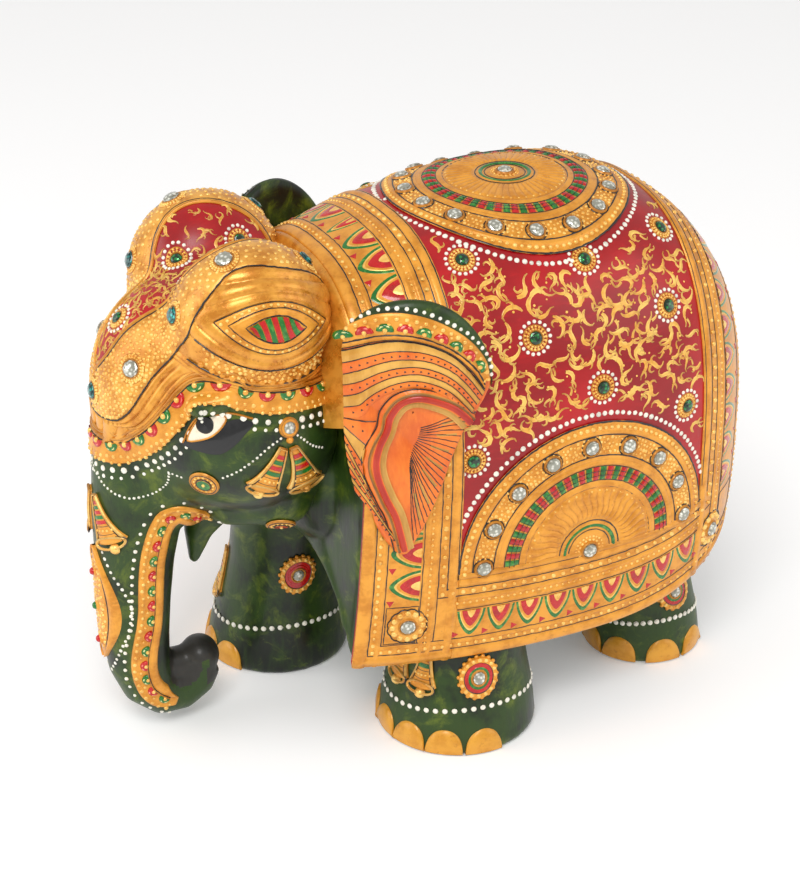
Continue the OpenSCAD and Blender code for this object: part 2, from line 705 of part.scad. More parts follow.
module leg_disc(leg, z, w, radius, d) {
    fs = [0.05, 1];
    function spot(f, v, lift) = leg_point(leg, z + radius * f * sin(v),
        w + radius * f * cos(v) / leg_radius(leg, z / leg_h) * 180 / PI, lift);
    ring_slab([for (f = fs) [for (v = [0:15:345]) spot(f, v, d)]],
        [for (f = fs) [for (v = [0:15:345]) spot(f, v, -overlap)]], true);
}

// Rosettes: leg index, height, direction. Bells on the fronts of the front legs: index, direction.
rosettes = [[0, 32, -12], [1, 44, -9], [2, 32, 8], [3, 32, 172]];
rosette_r = 8.5;
module leg_rosettes() {
    color("goldenrod")
        for (r = rosettes)
            leg_disc(legs[r[0]], r[1], r[2], rosette_r, relief_t);
}

leg_bell_spots = [[0, -60], [0, -88], [1, -112], [1, -140]];
leg_bell_top = 42;
leg_bell_h = 15;
module leg_bell(leg, w) {
    // Each row is a height and the half-width there in degrees.
    rows = [for (t = [0, 0.4, 0.75, 1]) [leg_bell_top - leg_bell_h * t, 2 + 9 * t]];
    function sheet(d) = [for (r = rows) [for (j = [-1:0.5:1]) leg_point(leg, r[0], w + r[1] * j, d)]];
    slab(sheet(relief_t), sheet(-overlap), true);
}
module leg_bells() {
    color("goldenrod")
        for (s = leg_bell_spots)
            leg_bell(legs[s[0]], s[1]);
}

// ---- set stones ----

// A cut stone: a straight girdle and a bevelled crown with a flat table, as parts of its radius.
girdle_h = 0.3;
crown_h = 0.62;
table_r = 0.6;
module gem(r) {
    rotate_extrude($fn = 32)
        polygon([[0, 0], [r, 0], [r, r * girdle_h], [r * table_r, r * crown_h], [0, r * crown_h]]);
}
module along(n) {
    rotate([0, acos(n[2] / norm(n)), atan2(n[1], n[0])]) children();
}
// Sets a stone on a point, given the same point lifted by 1 mm.
module set_stone(p, lifted, r) {
    translate(p) along(lifted - p) translate([0, 0, -stone_sink]) gem(r);
}
module set_on_head(a, b, r, base) {
    p = head_point(a, b, base);
    da = head_point(a + 3, b, base) - head_point(a - 3, b, base);
    db = head_point(a, b + 3, base) - head_point(a, b - 3, base);
    n = cross(db, da);
    set_stone(p, p + unit(n * (p - skull) > 0 ? n : -n), r);
}

top_stone_ring = top_medallion_r * 0.83;
module clear_stones_top() {
    color("gainsboro") {
        set_stone(crest_point(0, 0, relief_t), crest_point(0, 0, relief_t + 1), clear_r);
        for (k = [0:top_stone_count - 1])
            let (a = 360 * (k + 0.5) / top_stone_count)
                set_stone(
                    crest_point(top_stone_ring, a, relief_t),
                    crest_point(top_stone_ring, a, relief_t + 1),
                    clear_r);
    }
}

side_stone_ring = side_medallion_r * 0.82;
corner_stones = [[front_border_to - 18, hem_z + 17], [rear_border_from + 9, hem_at(100) + 17]];
module clear_stones_flank() {
    set_stone(flank_point(0, 0, relief_t), flank_point(0, 0, relief_t + 1), clear_r);
    for (k = [0:side_stone_count - 1])
        let (a = mix(4, 178, k / (side_stone_count - 1)))
            set_stone(
                flank_point(side_stone_ring, a, relief_t),
                flank_point(side_stone_ring, a, relief_t + 1),
                clear_r);
    for (c = corner_stones)
        set_stone(on_side(1, c[0], c[1], relief_t), on_side(1, c[0], c[1], relief_t + 1), clear_r);
}
module clear_stones_left() {
    color("gainsboro") clear_stones_flank();
}
module clear_stones_right() {
    color("gainsboro") mirror([1, 0, 0]) clear_stones_flank();
}

// Green stones scattered over the red field of the left flank, as [y, z].
green_spots = [
    [-1.5, 196], [44.5, 191.5], [84, 193], [76, 170.5],
    [17.5, 170], [43, 147.5], [82, 130.5], [-10.5, 128]];
module green_stones_flank() {
    for (g = green_spots)
        set_stone(on_side(1, g[0], g[1], 0), on_side(1, g[0], g[1], 1), green_r);
}
module green_stones_left() {
    color("seagreen") green_stones_flank();
}
module green_stones_right() {
    color("seagreen") mirror([1, 0, 0]) green_stones_flank();
}

module headdress_stones_green() {
    color("seagreen")
        turned()
            for (s = [[14, -10], [-14, -9], [-14, 9], [14, 10], [52, 0]])
                set_on_head(s[0], s[1], green_r, field_t);
}
module headdress_stones_teal() {
    color("teal")
        turned() {
            for (s = [[-25, 26], [30, 31], [-25, -26], [30, -31]])
                set_on_head(s[0], s[1], clear_r, relief_t);
            set_on_head(88, 0, clear_r, relief_t);
        }
}
module headdress_stones_clear() {
    color("gainsboro")
        turned()
            for (s = [[5, 28], [66, 24], [5, -28], [66, -24], [112, 0]])
                set_on_head(s[0], s[1], clear_r, relief_t);
}

module leg_stones() {
    color("gainsboro")
        for (r = rosettes)
            let (leg = legs[r[0]])
                set_stone(leg_point(leg, r[1], r[2], relief_t), leg_point(leg, r[1], r[2], relief_t + 1),
                    small_clear_r);
}

module bell_stones() {
    color("gainsboro")
        turned()
            for (side = [0, 1])
                mirror([side, 0, 0])
                    set_on_head(-95, 77, small_clear_r, 0);
}

body_carving();
head_carving();
ear_left();
ear_right();
tail();
saddle_cloth();
cloth_border_front();
cloth_border_rear();
cloth_border_hem_left();
cloth_border_hem_right();
top_medallion();
side_medallion_left();
side_medallion_right();
headdress_field();
headdress_bands();
brow_band();
temple_panel_left();
temple_panel_right();
cheek_bells_left();
cheek_bells_right();
cheek_medals();
trunk_band_left();
trunk_band_right();
trunk_plaque();
leg_rosettes();
leg_bells();
clear_stones_top();
clear_stones_left();
clear_stones_right();
green_stones_left();
green_stones_right();
headdress_stones_green();
headdress_stones_teal();
headdress_stones_clear();
leg_stones();
bell_stones();
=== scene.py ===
"""Looks for the carved wooden elephant: painted wood, raised gold paste, enamel and set stones.

Shapes are worked out in millimetres in the CAD frame and stored in metres. The head faces -Y,
+X is the elephant's left side and +Z is up.
"""
import json
import math

import bpy
import numpy as np
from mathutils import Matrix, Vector
from mathutils.bvhtree import BVHTree

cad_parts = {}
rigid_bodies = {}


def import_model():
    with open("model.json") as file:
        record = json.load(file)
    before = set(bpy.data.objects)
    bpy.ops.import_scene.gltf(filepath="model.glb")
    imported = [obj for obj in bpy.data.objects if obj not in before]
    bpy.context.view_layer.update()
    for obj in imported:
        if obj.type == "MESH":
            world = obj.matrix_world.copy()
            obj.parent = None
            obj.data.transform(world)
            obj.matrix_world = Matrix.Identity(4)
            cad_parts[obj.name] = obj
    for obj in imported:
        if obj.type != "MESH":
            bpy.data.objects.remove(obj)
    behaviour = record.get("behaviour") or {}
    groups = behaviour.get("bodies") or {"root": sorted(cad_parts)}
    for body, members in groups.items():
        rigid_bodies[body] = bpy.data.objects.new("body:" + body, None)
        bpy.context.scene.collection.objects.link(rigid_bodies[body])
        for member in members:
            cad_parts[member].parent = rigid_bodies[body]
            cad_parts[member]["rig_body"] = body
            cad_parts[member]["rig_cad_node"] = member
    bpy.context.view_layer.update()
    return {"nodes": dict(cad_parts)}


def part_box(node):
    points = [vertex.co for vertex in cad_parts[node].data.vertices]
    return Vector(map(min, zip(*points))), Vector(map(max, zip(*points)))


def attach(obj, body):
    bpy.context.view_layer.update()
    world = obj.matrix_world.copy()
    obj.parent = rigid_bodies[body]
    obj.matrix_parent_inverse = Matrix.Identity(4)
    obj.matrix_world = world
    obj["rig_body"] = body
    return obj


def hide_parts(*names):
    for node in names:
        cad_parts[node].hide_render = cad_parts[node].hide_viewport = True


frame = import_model()
MM = 0.001
RNG = np.random.default_rng(7)


def box_mm(node):
    low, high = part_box(node)
    return np.array(low) / MM, np.array(high) / MM


# ---- sizes: read from the CAD nodes, with the shape constants of the design ----

CLOTH_LOW, CLOTH_HIGH = box_mm("saddle_cloth")
MEDAL_LOW, MEDAL_HIGH = box_mm("top_medallion")
BODY_HALF_W = CLOTH_HIGH[0]
BODY_TOP = CLOTH_HIGH[2]
CLOTH_FRONT = CLOTH_LOW[1]
CLOTH_REAR = CLOTH_HIGH[1]
HEM_Z = CLOTH_LOW[2]
PASTE = MEDAL_HIGH[2] - BODY_TOP
GROUND = PASTE * 0.75
TOP_R = (MEDAL_HIGH[1] - MEDAL_LOW[1]) / 2
TOP_CENTRE = (0.0, (MEDAL_HIGH[1] + MEDAL_LOW[1]) / 2)
FRONT_BAND = 38.0
REAR_BAND = 35.0
HEM_BAND = 38.0
FLANK_R = 54.0
WAIST = 105.0
CROWN_Y = 40.0
RUMP_Y = 132.0
UNDER_H = 130.0
FRONT_LEN_W = 158.0
FRONT_LEN_H = 170.0
CLOTH_LEAN = 9.0
CLOTH_T = 3.0
SECTION = 2.6
FLANK_CENTRE = (38.0, HEM_Z + HEM_BAND + 1.5)
FRONT_TO = CLOTH_FRONT + FRONT_BAND
REAR_FROM = CLOTH_REAR - REAR_BAND
NECK = np.array([0.0, -35.0, 0.0])
HEAD_TURN = math.radians(-4.5)
SKULL = np.array([0.0, -82.0, 148.0])
BODY_MIDDLE = np.array([0.0, CROWN_Y, WAIST])


def link(thing):
    bpy.context.scene.collection.objects.link(thing)


# ---- small maths ----

def unit(v):
    return v / np.maximum(np.linalg.norm(v, axis=-1, keepdims=True), 1e-9)


def spow(v, e):
    return np.sign(v) * np.abs(v) ** e


def mix(a, b, t):
    return a + (b - a) * t


def ramp(x, low, high):
    """0 below low, 1 above high, with soft ends."""
    t = np.clip((x - low) / (high - low), 0, 1)
    return t * t * (3 - 2 * t)


def bump(x, centre, half):
    """A rounded ridge of height 1 at centre, that ends half away from it."""
    t = np.clip(np.abs(x - centre) / half, 0, 1)
    return np.sqrt(np.maximum(1 - t * t, 0))


def smooth_path(points, count, closed=False):
    """A Catmull-Rom curve through the points, sampled evenly."""
    p = np.asarray(points, float)
    n = len(p)
    t = np.linspace(0, n if closed else n - 1, 40 * n)
    i = np.floor(t).astype(int)
    if not closed:
        i = np.minimum(i, n - 2)
    f = (t - i)[:, None]
    pick = (lambda k: p[k % n]) if closed else (lambda k: p[np.clip(k, 0, n - 1)])
    a, b, c, d = pick(i - 1), pick(i), pick(i + 1), pick(i + 2)
    q = 0.5 * (2 * b + (c - a) * f + (2 * a - 5 * b + 4 * c - d) * f ** 2 + (3 * b - a - 3 * c + d) * f ** 3)
    run = np.r_[0, np.cumsum(np.linalg.norm(np.diff(q, axis=0), axis=1))]
    s = np.linspace(0, run[-1], count, endpoint=not closed)
    return np.stack([np.interp(s, run, q[:, k]) for k in range(p.shape[1])], 1)


def spaced(points, gap, closed=False):
    """The same curve, sampled at about the given gap."""
    p = np.asarray(points, float)
    if closed:
        p = np.vstack([p, p[:1]])
    length = np.linalg.norm(np.diff(p, axis=0), axis=1).sum()
    n = max(2, int(round(length / gap)) + (0 if closed else 1))
    run = np.r_[0, np.cumsum(np.linalg.norm(np.diff(p, axis=0), axis=1))]
    s = np.linspace(0, run[-1], n, endpoint=not closed)
    return np.stack([np.interp(s, run, p[:, k]) for k in range(p.shape[1])], 1)


def spin(xy, turn):
    """Offsets turned by an angle, as x and y."""
    xy = np.asarray(xy, float)
    c, s = math.cos(turn), math.sin(turn)
    return c * xy[..., 0] - s * xy[..., 1], s * xy[..., 0] + c * xy[..., 1]


def stand(place, p, base=0.0):
    """Places at a lift above a surface, and the way up from each of them."""
    lift = np.full(len(p), float(base))
    places = place(p, lift)
    return places, place(p, lift + 1) - places


def way_up(spot):
    """The way up at the middle of a spot."""
    return (spot(np.zeros((1, 2)), np.ones(1)) - spot(np.zeros((1, 2)), np.zeros(1)))[0]


def sheet_points(u, v):
    """A grid of coordinate pairs."""
    return np.stack(np.meshgrid(u, v, indexing="ij"), -1)


# ---- the skin of the body, as in the CAD ----

def rear_scale(y):
    behind = np.clip((y - CROWN_Y) / (RUMP_Y - CROWN_Y), 0, 1)
    return (1 - behind ** SECTION) ** (1 / SECTION)


def half_w(y):
    return BODY_HALF_W * rear_scale(y) * np.sqrt(1 - (np.maximum(0, CROWN_Y - y) / FRONT_LEN_W) ** 2)


def half_up(y):
    return (BODY_TOP - WAIST) * rear_scale(y) * np.sqrt(1 - (np.maximum(0, CROWN_Y - y) / FRONT_LEN_H) ** 2)


def half_down(y):
    return np.maximum(UNDER_H * rear_scale(y), 0.01)


def hem_at(y):
    return HEM_Z + 2 * np.clip((20 - y) / 75, 0, 1) ** 2 + 17 * (np.maximum(0, y - 20) / 95) ** 3


def angle_at(y, z):
    """Angle from the crest at which the skin is at height z, below the waist."""
    return math.pi / 2 + np.arcsin(np.clip((WAIST - z) / half_down(y), 0, 0.97) ** (SECTION / 2))


def hem_angle(y):
    return angle_at(y, np.maximum(hem_at(y), WAIST - 0.85 * half_down(y)))


def skin(y, a, d):
    y, a, d = np.broadcast_arrays(np.asarray(y, float), a, d)
    w = np.maximum(half_w(y), 0.05)
    h = np.maximum(np.where(np.cos(a) > 0, half_up(y), half_down(y)), 0.05)
    x = w * spow(np.sin(a), 2 / SECTION)
    z = h * spow(np.cos(a), 2 / SECTION)
    slope = (half_w(y + 0.5) - half_w(y - 0.5)) / w
    out = np.stack([spow(x / w, SECTION - 1) / w, -slope, spow(z / h, SECTION - 1) / h], -1)
    return np.stack([x, y, WAIST + z], -1) + d[..., None] * unit(out)


def skin_lean(u, a, d):
    lean = CLOTH_LEAN * np.clip((CROWN_Y - u) / 95, 0, 1)
    return skin(u + lean * (skin(u, a, 0)[..., 2] - HEM_Z) / (BODY_TOP - HEM_Z), a, d)


def on_top(x, y, d):
    a = np.arcsin(np.clip(np.abs(x) / half_w(y), 0, 1) ** (SECTION / 2))
    return skin(y, np.where(x < 0, -a, a), d)


def on_side(side, y, z, d):
    h = np.where(z > WAIST, half_up(y), half_down(y))
    c = np.clip(np.abs(z - WAIST) / h, 0, 1) ** (SECTION / 2)
    return skin(y, side * np.where(z > WAIST, np.arccos(c), math.pi / 2 + np.arcsin(c)), d)


# ---- surfaces: a place for two coordinates and a lift, and offsets along the surface ----

class Surface:
    """A surface with two coordinates. place(p, lift) gives places in mm for p (..., 2)."""

    def __init__(self, place):
        self.place = place

    def normal(self, p):
        return unit(self.place(p, 1.0) - self.place(p, 0.0))

    def at(self, p, turn=0.0):
        """A function that maps offsets in mm from p, and a lift, to places on the surface."""
        p = np.asarray(p, float)
        step = 0.05
        o = self.place(p, 0.0)
        a = (self.place(p + [step, 0], 0.0) - o) / step
        b = (self.place(p + [0, step], 0.0) - o) / step
        n = self.normal(p)
        e1 = unit(a)
        e2 = np.cross(n, e1)
        gram = np.linalg.inv(np.array([[a @ a, a @ b], [a @ b, b @ b]]))
        rows = np.array([[e1 @ a, e1 @ b], [e2 @ a, e2 @ b]])

        def spot(xy, lift):
            x, y = spin(xy, turn)
            q = p + (x[..., None] * rows[0] + y[..., None] * rows[1]) @ gram
            return self.place(q, lift)
        return spot


class Metric(Surface):
    """A surface whose coordinates are already in mm along it."""

    def at(self, p, turn=0.0):
        p = np.asarray(p, float)

        def spot(xy, lift):
            x, y = spin(xy, turn)
            return self.place(p + np.stack([x, y], -1), lift)
        return spot


class Shell:
    """A surface given by meshes: places are the nearest points on them."""

    def __init__(self, chunks):
        points, faces, base = [], [], 0
        for p, f in chunks:
            points.append(p)
            faces += [tuple(int(k) + base for k in q) for q in f]
            base += len(p)
        self.tree = BVHTree.FromPolygons([Vector(v) for v in np.vstack(points)], faces)

    def snap(self, points):
        points = np.asarray(points, float)
        flat = points.reshape(-1, 3)
        found = [self.tree.find_nearest(Vector(v)) for v in flat]
        place = np.array([f[0] for f in found]).reshape(points.shape)
        normal = np.array([f[1] for f in found]).reshape(points.shape)
        return place, normal

    def drop(self, points, up):
        """Points moved along up until they lie on the shell, and the normals there."""
        flat, rise = points.reshape(-1, 3), up.reshape(-1, 3)
        place, normal = [], []
        for v, u in zip(flat, rise):
            found, n, _, _ = self.tree.ray_cast(Vector(v + 9 * u), Vector(-u), 22)
            if found is None:
                found, n, _, _ = self.tree.find_nearest(Vector(v))
            place.append(found)
            normal.append(n)
        return np.array(place).reshape(points.shape), np.array(normal).reshape(points.shape)

    def place(self, p, d):
        """Places near points in space, so that a line or a row of beads may follow a path."""
        place, normal = self.snap(p)
        return place + normal * np.broadcast_to(d, place.shape[:-1])[..., None]

    def at(self, p, along=(0, 0, 1), turn=0.0):
        o, n = self.snap(np.asarray(p, float))
        e2 = unit(np.asarray(along, float) - n * np.dot(along, n))
        e1 = np.cross(e2, n)

        def spot(xy, lift):
            x, y = spin(xy, turn)
            place, normal = self.snap(o + x[..., None] * e1 + y[..., None] * e2 + n)
            return place + normal * np.broadcast_to(np.asarray(lift, float), x.shape)[..., None]
        return spot


# ---- one mesh per piece, with several paints ----

PAINTS = {}


class Piece:
    """Collects grids, dots and lines, in mm, into one mesh."""

    def __init__(self, name, slot, extra=False):
        """The piece stands for the CAD node of the same name, unless it is extra."""
        self.name, self.slot, self.nodes = name, slot, () if extra else (name,)
        self.points, self.faces, self.paints, self.count = [], [], [], 0
        self.paint_names = []

    def paint(self, name):
        if name not in self.paint_names:
            self.paint_names.append(name)
        return self.paint_names.index(name)

    def add(self, points, faces, paint):
        """faces is an (N, 3) or (N, 4) array; paint is one name or a list of names with an index each."""
        points = np.asarray(points, float).reshape(-1, 3)
        index = np.full(len(faces), self.paint(paint)) if isinstance(paint, str) else paint
        self.points.append(points)
        self.faces.append(np.asarray(faces) + self.count)
        self.paints.append(index)
        self.count += len(points)

    def grid(self, points, paint, wrap=False, out=None):
        """A sheet of rows of points. Its faces look along out, or away from the body if that is None."""
        rows, cols = points.shape[:2]
        i = np.arange(rows - 1)[:, None] * cols
        j = np.arange(cols if wrap else cols - 1)[None]
        k = (j + 1) % cols
        faces = np.stack([i + j, i + cols + j, i + cols + k, i + k], -1).reshape(-1, 4)
        flat = points.reshape(-1, 3)
        a, b, c, d = (flat[faces[:, m]] for m in range(4))
        normal = np.cross(c - a, d - b)
        away = (a + c) / 2 - BODY_MIDDLE if out is None else out
        if (normal * away).sum() < 0:
            faces = faces[:, ::-1]
        self.add(flat, faces, paint)

    def dots(self, places, normals, radius, height, paint, sides=8):
        """Rounded dots, one mesh patch each."""
        places = np.asarray(places, float).reshape(-1, 3)
        normals = unit(np.asarray(normals, float).reshape(-1, 3))
        n = len(places)
        if not n:
            return
        radius = np.broadcast_to(radius, n)[:, None, None]
        height = np.broadcast_to(height, n)[:, None, None]
        side = unit(np.cross(normals, np.where(np.abs(normals[:, 2:]) < 0.9, [[0, 0, 1]], [[1, 0, 0]])))
        e1, e2 = side[:, None], np.cross(normals, side)[:, None]
        w = np.arange(sides) * 2 * math.pi / sides
        ring = np.cos(w)[None, :, None] * e1 + np.sin(w)[None, :, None] * e2
        up = normals[:, None]
        base = places[:, None]
        low = base + ring * radius - up * 0.15
        waist = base + ring * radius * 0.93 + up * height * 0.4
        high = base + ring * radius * 0.58 + up * height * 0.86
        top = base + up * height
        points = np.concatenate([low, waist, high, top], 1)
        j = np.arange(sides)
        k = (j + 1) % sides
        quads = np.concatenate([
            np.stack([m * sides + j, m * sides + k, (m + 1) * sides + k, (m + 1) * sides + j],
                     1) for m in range(2)])
        tris = np.stack([2 * sides + j, 2 * sides + k, np.full(sides, 3 * sides)], 1)
        size = 3 * sides + 1
        base_index = (np.arange(n) * size)[:, None, None]
        start = self.count
        self.add(points, (quads[None] + base_index).reshape(-1, 4), paint)
        self.faces.append((tris[None] + base_index).reshape(-1, 3) + start)
        self.paints.append(np.full(n * sides, self.paint(paint)))

    def ridge(self, places, normals, half, height, paint, closed=False, sink=0.15, steps=5):
        """A rounded line along places (N, 3), with a half-width that may vary along it."""
        places = np.asarray(places, float)
        normals = unit(np.broadcast_to(np.asarray(normals, float), places.shape))
        if closed:
            ahead = np.roll(places, -1, 0) - np.roll(places, 1, 0)
        else:
            ahead = np.gradient(places, axis=0)
        side = unit(np.cross(normals, unit(ahead)))
        half = np.broadcast_to(half, len(places))[:, None, None]
        tall = np.broadcast_to(height, len(places))[:, None, None]
        w = np.linspace(-1, 1, steps)
        across = (w * (1 - 0.05 * w * w))[None, :, None]
        rise = np.sqrt(np.maximum(1 - w * w, 0))[None, :, None]
        points = (places[:, None] + side[:, None] * across * half
                  + normals[:, None] * (rise * (tall + sink) - sink))
        if closed:
            points = np.concatenate([points, points[:1]])
        rows = len(points)
        i = np.arange(rows - 1)[:, None] * steps
        j = np.arange(steps - 1)[None]
        faces = np.stack([i + j, i + steps + j, i + steps + j + 1, i + j + 1], -1).reshape(-1, 4)
        self.add(points, faces[:, ::-1], paint)

    def done(self):
        points = np.vstack(self.points) * MM
        mesh = bpy.data.meshes.new(self.name)
        sizes = np.concatenate([np.full(len(f), f.shape[1]) for f in self.faces])
        loops = np.concatenate([f.reshape(-1) for f in self.faces])
        starts = np.r_[0, np.cumsum(sizes)[:-1]]
        mesh.vertices.add(len(points))
        mesh.vertices.foreach_set("co", points.astype(np.float32).reshape(-1))
        mesh.loops.add(len(loops))
        mesh.loops.foreach_set("vertex_index", loops.astype(np.int32))
        mesh.polygons.add(len(sizes))
        mesh.polygons.foreach_set("loop_start", starts.astype(np.int32))
        mesh.polygons.foreach_set("material_index", np.concatenate(self.paints).astype(np.int32))
        mesh.polygons.foreach_set("use_smooth", np.ones(len(sizes), bool))
        mesh.update(calc_edges=True)
        mesh.validate()
        for name in self.paint_names:
            mesh.materials.append(PAINTS[name])
        piece = bpy.data.objects.new(self.name, mesh)
        link(piece)
        return finish_piece(piece, self.slot, self.nodes)


def finish_piece(piece, slot, nodes):
    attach(piece, "root")
    if nodes:
        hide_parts(*nodes)
    return piece


# ---- paints ----

class Nodes:
    """A short way to write a node material."""

    def __init__(self, name):
        self.material = bpy.data.materials.new(name)
        self.material.use_nodes = True
        self.tree = self.material.node_tree
        self.shader = next(n for n in self.tree.nodes if n.type == "BSDF_PRINCIPLED")
        self.place = self.new("ShaderNodeTexCoord").outputs["Object"]
        PAINTS[name] = self.material

    def new(self, kind, **values):
        node = self.tree.nodes.new(kind)
        for key, value in values.items():
            setattr(node, key, value)
        return node

    def put(self, value, socket):
        if isinstance(value, bpy.types.NodeSocket):
            self.tree.links.new(value, socket)
        else:
            socket.default_value = value

    def feed(self, node, **values):
        """Sets or links inputs by name, with _ for a space."""
        for key, value in values.items():
            self.put(value, node.inputs[key.replace("_", " ")])
        return node

    def noise(self, scale, detail=4.0, rough=0.55, stretch=None, distortion=0.0):
        place = self.place
        node = self.new("ShaderNodeTexNoise")
        if stretch:
            mapping = self.feed(self.new("ShaderNodeMapping"), Scale=stretch, Vector=place)
            place = mapping.outputs["Vector"]
        self.feed(node, Scale=scale, Detail=detail, Roughness=rough, Distortion=distortion, Vector=place)
        return node.outputs["Fac"]

    def cells(self, scale, feature="F1"):
        node = self.new("ShaderNodeTexVoronoi", feature=feature)
        return self.feed(node, Scale=scale, Vector=self.place).outputs["Distance"]

    def level(self, value, low, high, to_low=0.0, to_high=1.0):
        node = self.new("ShaderNodeMapRange", interpolation_type="SMOOTHSTEP")
        self.feed(node, Value=value, From_Min=low, From_Max=high, To_Min=to_low, To_Max=to_high)
        return node.outputs["Result"]

    def blend(self, factor, a, b):
        node = self.new("ShaderNodeMix", data_type="RGBA")
        for k, value in ((0, factor), (6, a), (7, b)):
            self.put(value, node.inputs[k])
        return node.outputs[2]

    def maths(self, kind, a, b):
        node = self.new("ShaderNodeMath", operation=kind)
        for k, value in enumerate((a, b)):
            self.put(value, node.inputs[k])
        return node.outputs[0]

    def crevice(self, low=0.42, high=0.5):
        """1 in hollows, 0 on flat and raised places."""
        pointed = self.new("ShaderNodeNewGeometry").outputs["Pointiness"]
        return self.level(pointed, low, high, 1.0, 0.0)

    def relief(self, height, distance, strength=1.0):
        node = self.feed(self.new("ShaderNodeBump"), Distance=distance, Strength=strength, Height=height)
        self.feed(self.shader, Normal=node.outputs["Normal"])

    def finish(self, colour, roughness, metallic=0.0, coat=0.0, coat_roughness=0.1):
        self.feed(self.shader, Base_Color=colour, Roughness=roughness, Metallic=metallic,
                  Specular_IOR_Level=0.35, Coat_Weight=coat, Coat_Roughness=coat_roughness)


def rgb(r, g, b):
    """A colour given as sRGB bytes, for a shader."""
    return tuple(((v / 255 + 0.055) / 1.055) ** 2.4 if v > 10 else v / 255 / 12.92 for v in (r, g, b)) + (1.0,
                                                                                                          )


def wood_green(name, dark, middle, light, coat=0.35, rough=0.42):
    """Stain-mottled green paint over wood, with fine brush marks along the grain."""
    m = Nodes(name)
    cloud = m.noise(38, 5, 0.6)
    colour = m.blend(m.level(cloud, 0.36, 0.56), dark, middle)
    colour = m.blend(m.level(m.noise(75, 6, 0.7, distortion=0.6), 0.5, 0.72), colour, light)
    streak = m.noise(420, 3, 0.6, stretch=(1, 1, 0.12))
    colour = m.blend(m.level(streak, 0.45, 0.75, 0, 0.45), colour, middle)
    colour = m.blend(m.level(m.noise(900, 2), 0.62, 0.78, 0, 0.35), colour, dark)
    # Painted shade: the hollows of the carving turn near black.
    colour = m.blend(m.crevice(), colour, rgb(8, 12, 8))
    m.finish(colour, m.level(cloud, 0.3, 0.7, rough - 0.08, rough + 0.1), 0, coat, 0.18)
    m.relief(m.maths("ADD", streak, m.maths("MULTIPLY", m.noise(160, 4), 0.8)), 0.00022, 0.5)


def gold_paint(name, low, high, metallic=0.3, pits=0.0, rough=0.38):
    """Ochre gold over paste: brushed, a little metallic, with a brown wash in the hollows."""
    m = Nodes(name)
    tone = m.noise(120, 5, 0.6)
    colour = m.blend(m.level(tone, 0.38, 0.62), low, high)
    brush = m.noise(700, 3, 0.6, stretch=(1, 0.25, 1))
    colour = m.blend(m.level(brush, 0.42, 0.7, 0, 0.5), colour, high)
    worn = m.level(m.noise(260, 4, 0.65), 0.6, 0.72, 0, 0.4)
    colour = m.blend(worn, colour, rgb(150, 88, 22))
    colour = m.blend(m.maths("MULTIPLY", m.crevice(0.40, 0.49), 0.7), colour, rgb(128, 70, 14))
    grain = m.maths("ADD", m.maths("MULTIPLY", m.noise(1400, 3), 0.5), brush)
    if pits:
        grain = m.maths("ADD", grain, m.maths("MULTIPLY", m.cells(850, "SMOOTH_F1"), -pits))
    m.finish(colour, m.level(tone, 0.3, 0.7, rough - 0.07, rough + 0.1), metallic, 0.35, 0.22)
    m.relief(grain, 0.00016, 0.55)


def enamel(name, colour, pale, amount=0.5, rough=0.22):
    """Thick gloss paint laid on with a small brush, paler where it is thin."""
    m = Nodes(name)
    thin = m.noise(330, 3, 0.5, distortion=0.8)
    mixed = m.blend(m.level(thin, 0.5, 0.7, 0, amount), colour, pale)
    mixed = m.blend(m.level(m.noise(190, 4), 0.35, 0.5, 0.45, 0), mixed,
                    tuple(0.45 * c for c in colour[:3]) + (1,))
    m.finish(mixed, m.level(thin, 0.3, 0.7, rough - 0.05, rough + 0.1), 0, 0.6, 0.12)
    m.relief(m.noise(800, 3), 0.0001, 0.4)


def red_lacquer():
    """The polished field of the cloth: deep red, with faint brush tone and a clear coat."""
    m = Nodes("red_lacquer")
    tone = m.noise(26, 4, 0.5)
    colour = m.blend(m.level(tone, 0.35, 0.65), rgb(140, 2, 8), rgb(178, 5, 12))
    colour = m.blend(m.level(m.noise(500, 3, 0.6, stretch=(1, 0.3, 1)), 0.5, 0.75, 0, 0.35), colour,
                     rgb(196, 14, 20))
    m.finish(colour, m.level(m.noise(90, 4), 0.3, 0.7, 0.3, 0.4), 0, 0.3, 0.2)
    m.relief(m.noise(240, 4), 0.00012, 0.35)


def ear_paint(name, low, high):
    m = Nodes(name)
    tone = m.noise(90, 5, 0.6, stretch=(1, 1, 0.5))
    colour = m.blend(m.level(tone, 0.35, 0.65), low, high)
    colour = m.blend(m.level(m.noise(600, 3, 0.6, stretch=(1, 1, 0.25)), 0.5, 0.75, 0, 0.5), colour, high)
    # Painted shadow: the hollows of the ear, the inside of the fold among them, turn dark orange-brown.
    colour = m.blend(m.crevice(), colour, rgb(90, 34, 6))
    m.finish(colour, m.level(tone, 0.3, 0.7, 0.34, 0.5), 0.08, 0.4, 0.2)
    m.relief(m.noise(700, 3, 0.6, stretch=(1, 1, 0.3)), 0.00014, 0.5)


def cut_stone(name, deep, bright, rough=0.06):
    """A foil-backed glass stone: a clear coat over a bright back, its own bright and deep colours laid out in
    cells as painted reflections of the facets.
    """
    m = Nodes(name)
    facets = m.cells(700)
    # Painted reflection: cells switch between the bright back and the deep colour, as facets catching the
    # light would.
    colour = m.blend(m.level(facets, 0.15, 0.6), bright, deep)
    m.finish(colour, rough, 0.35, 1.0, 0.03)
    m.relief(facets, 0.0002, 0.35)


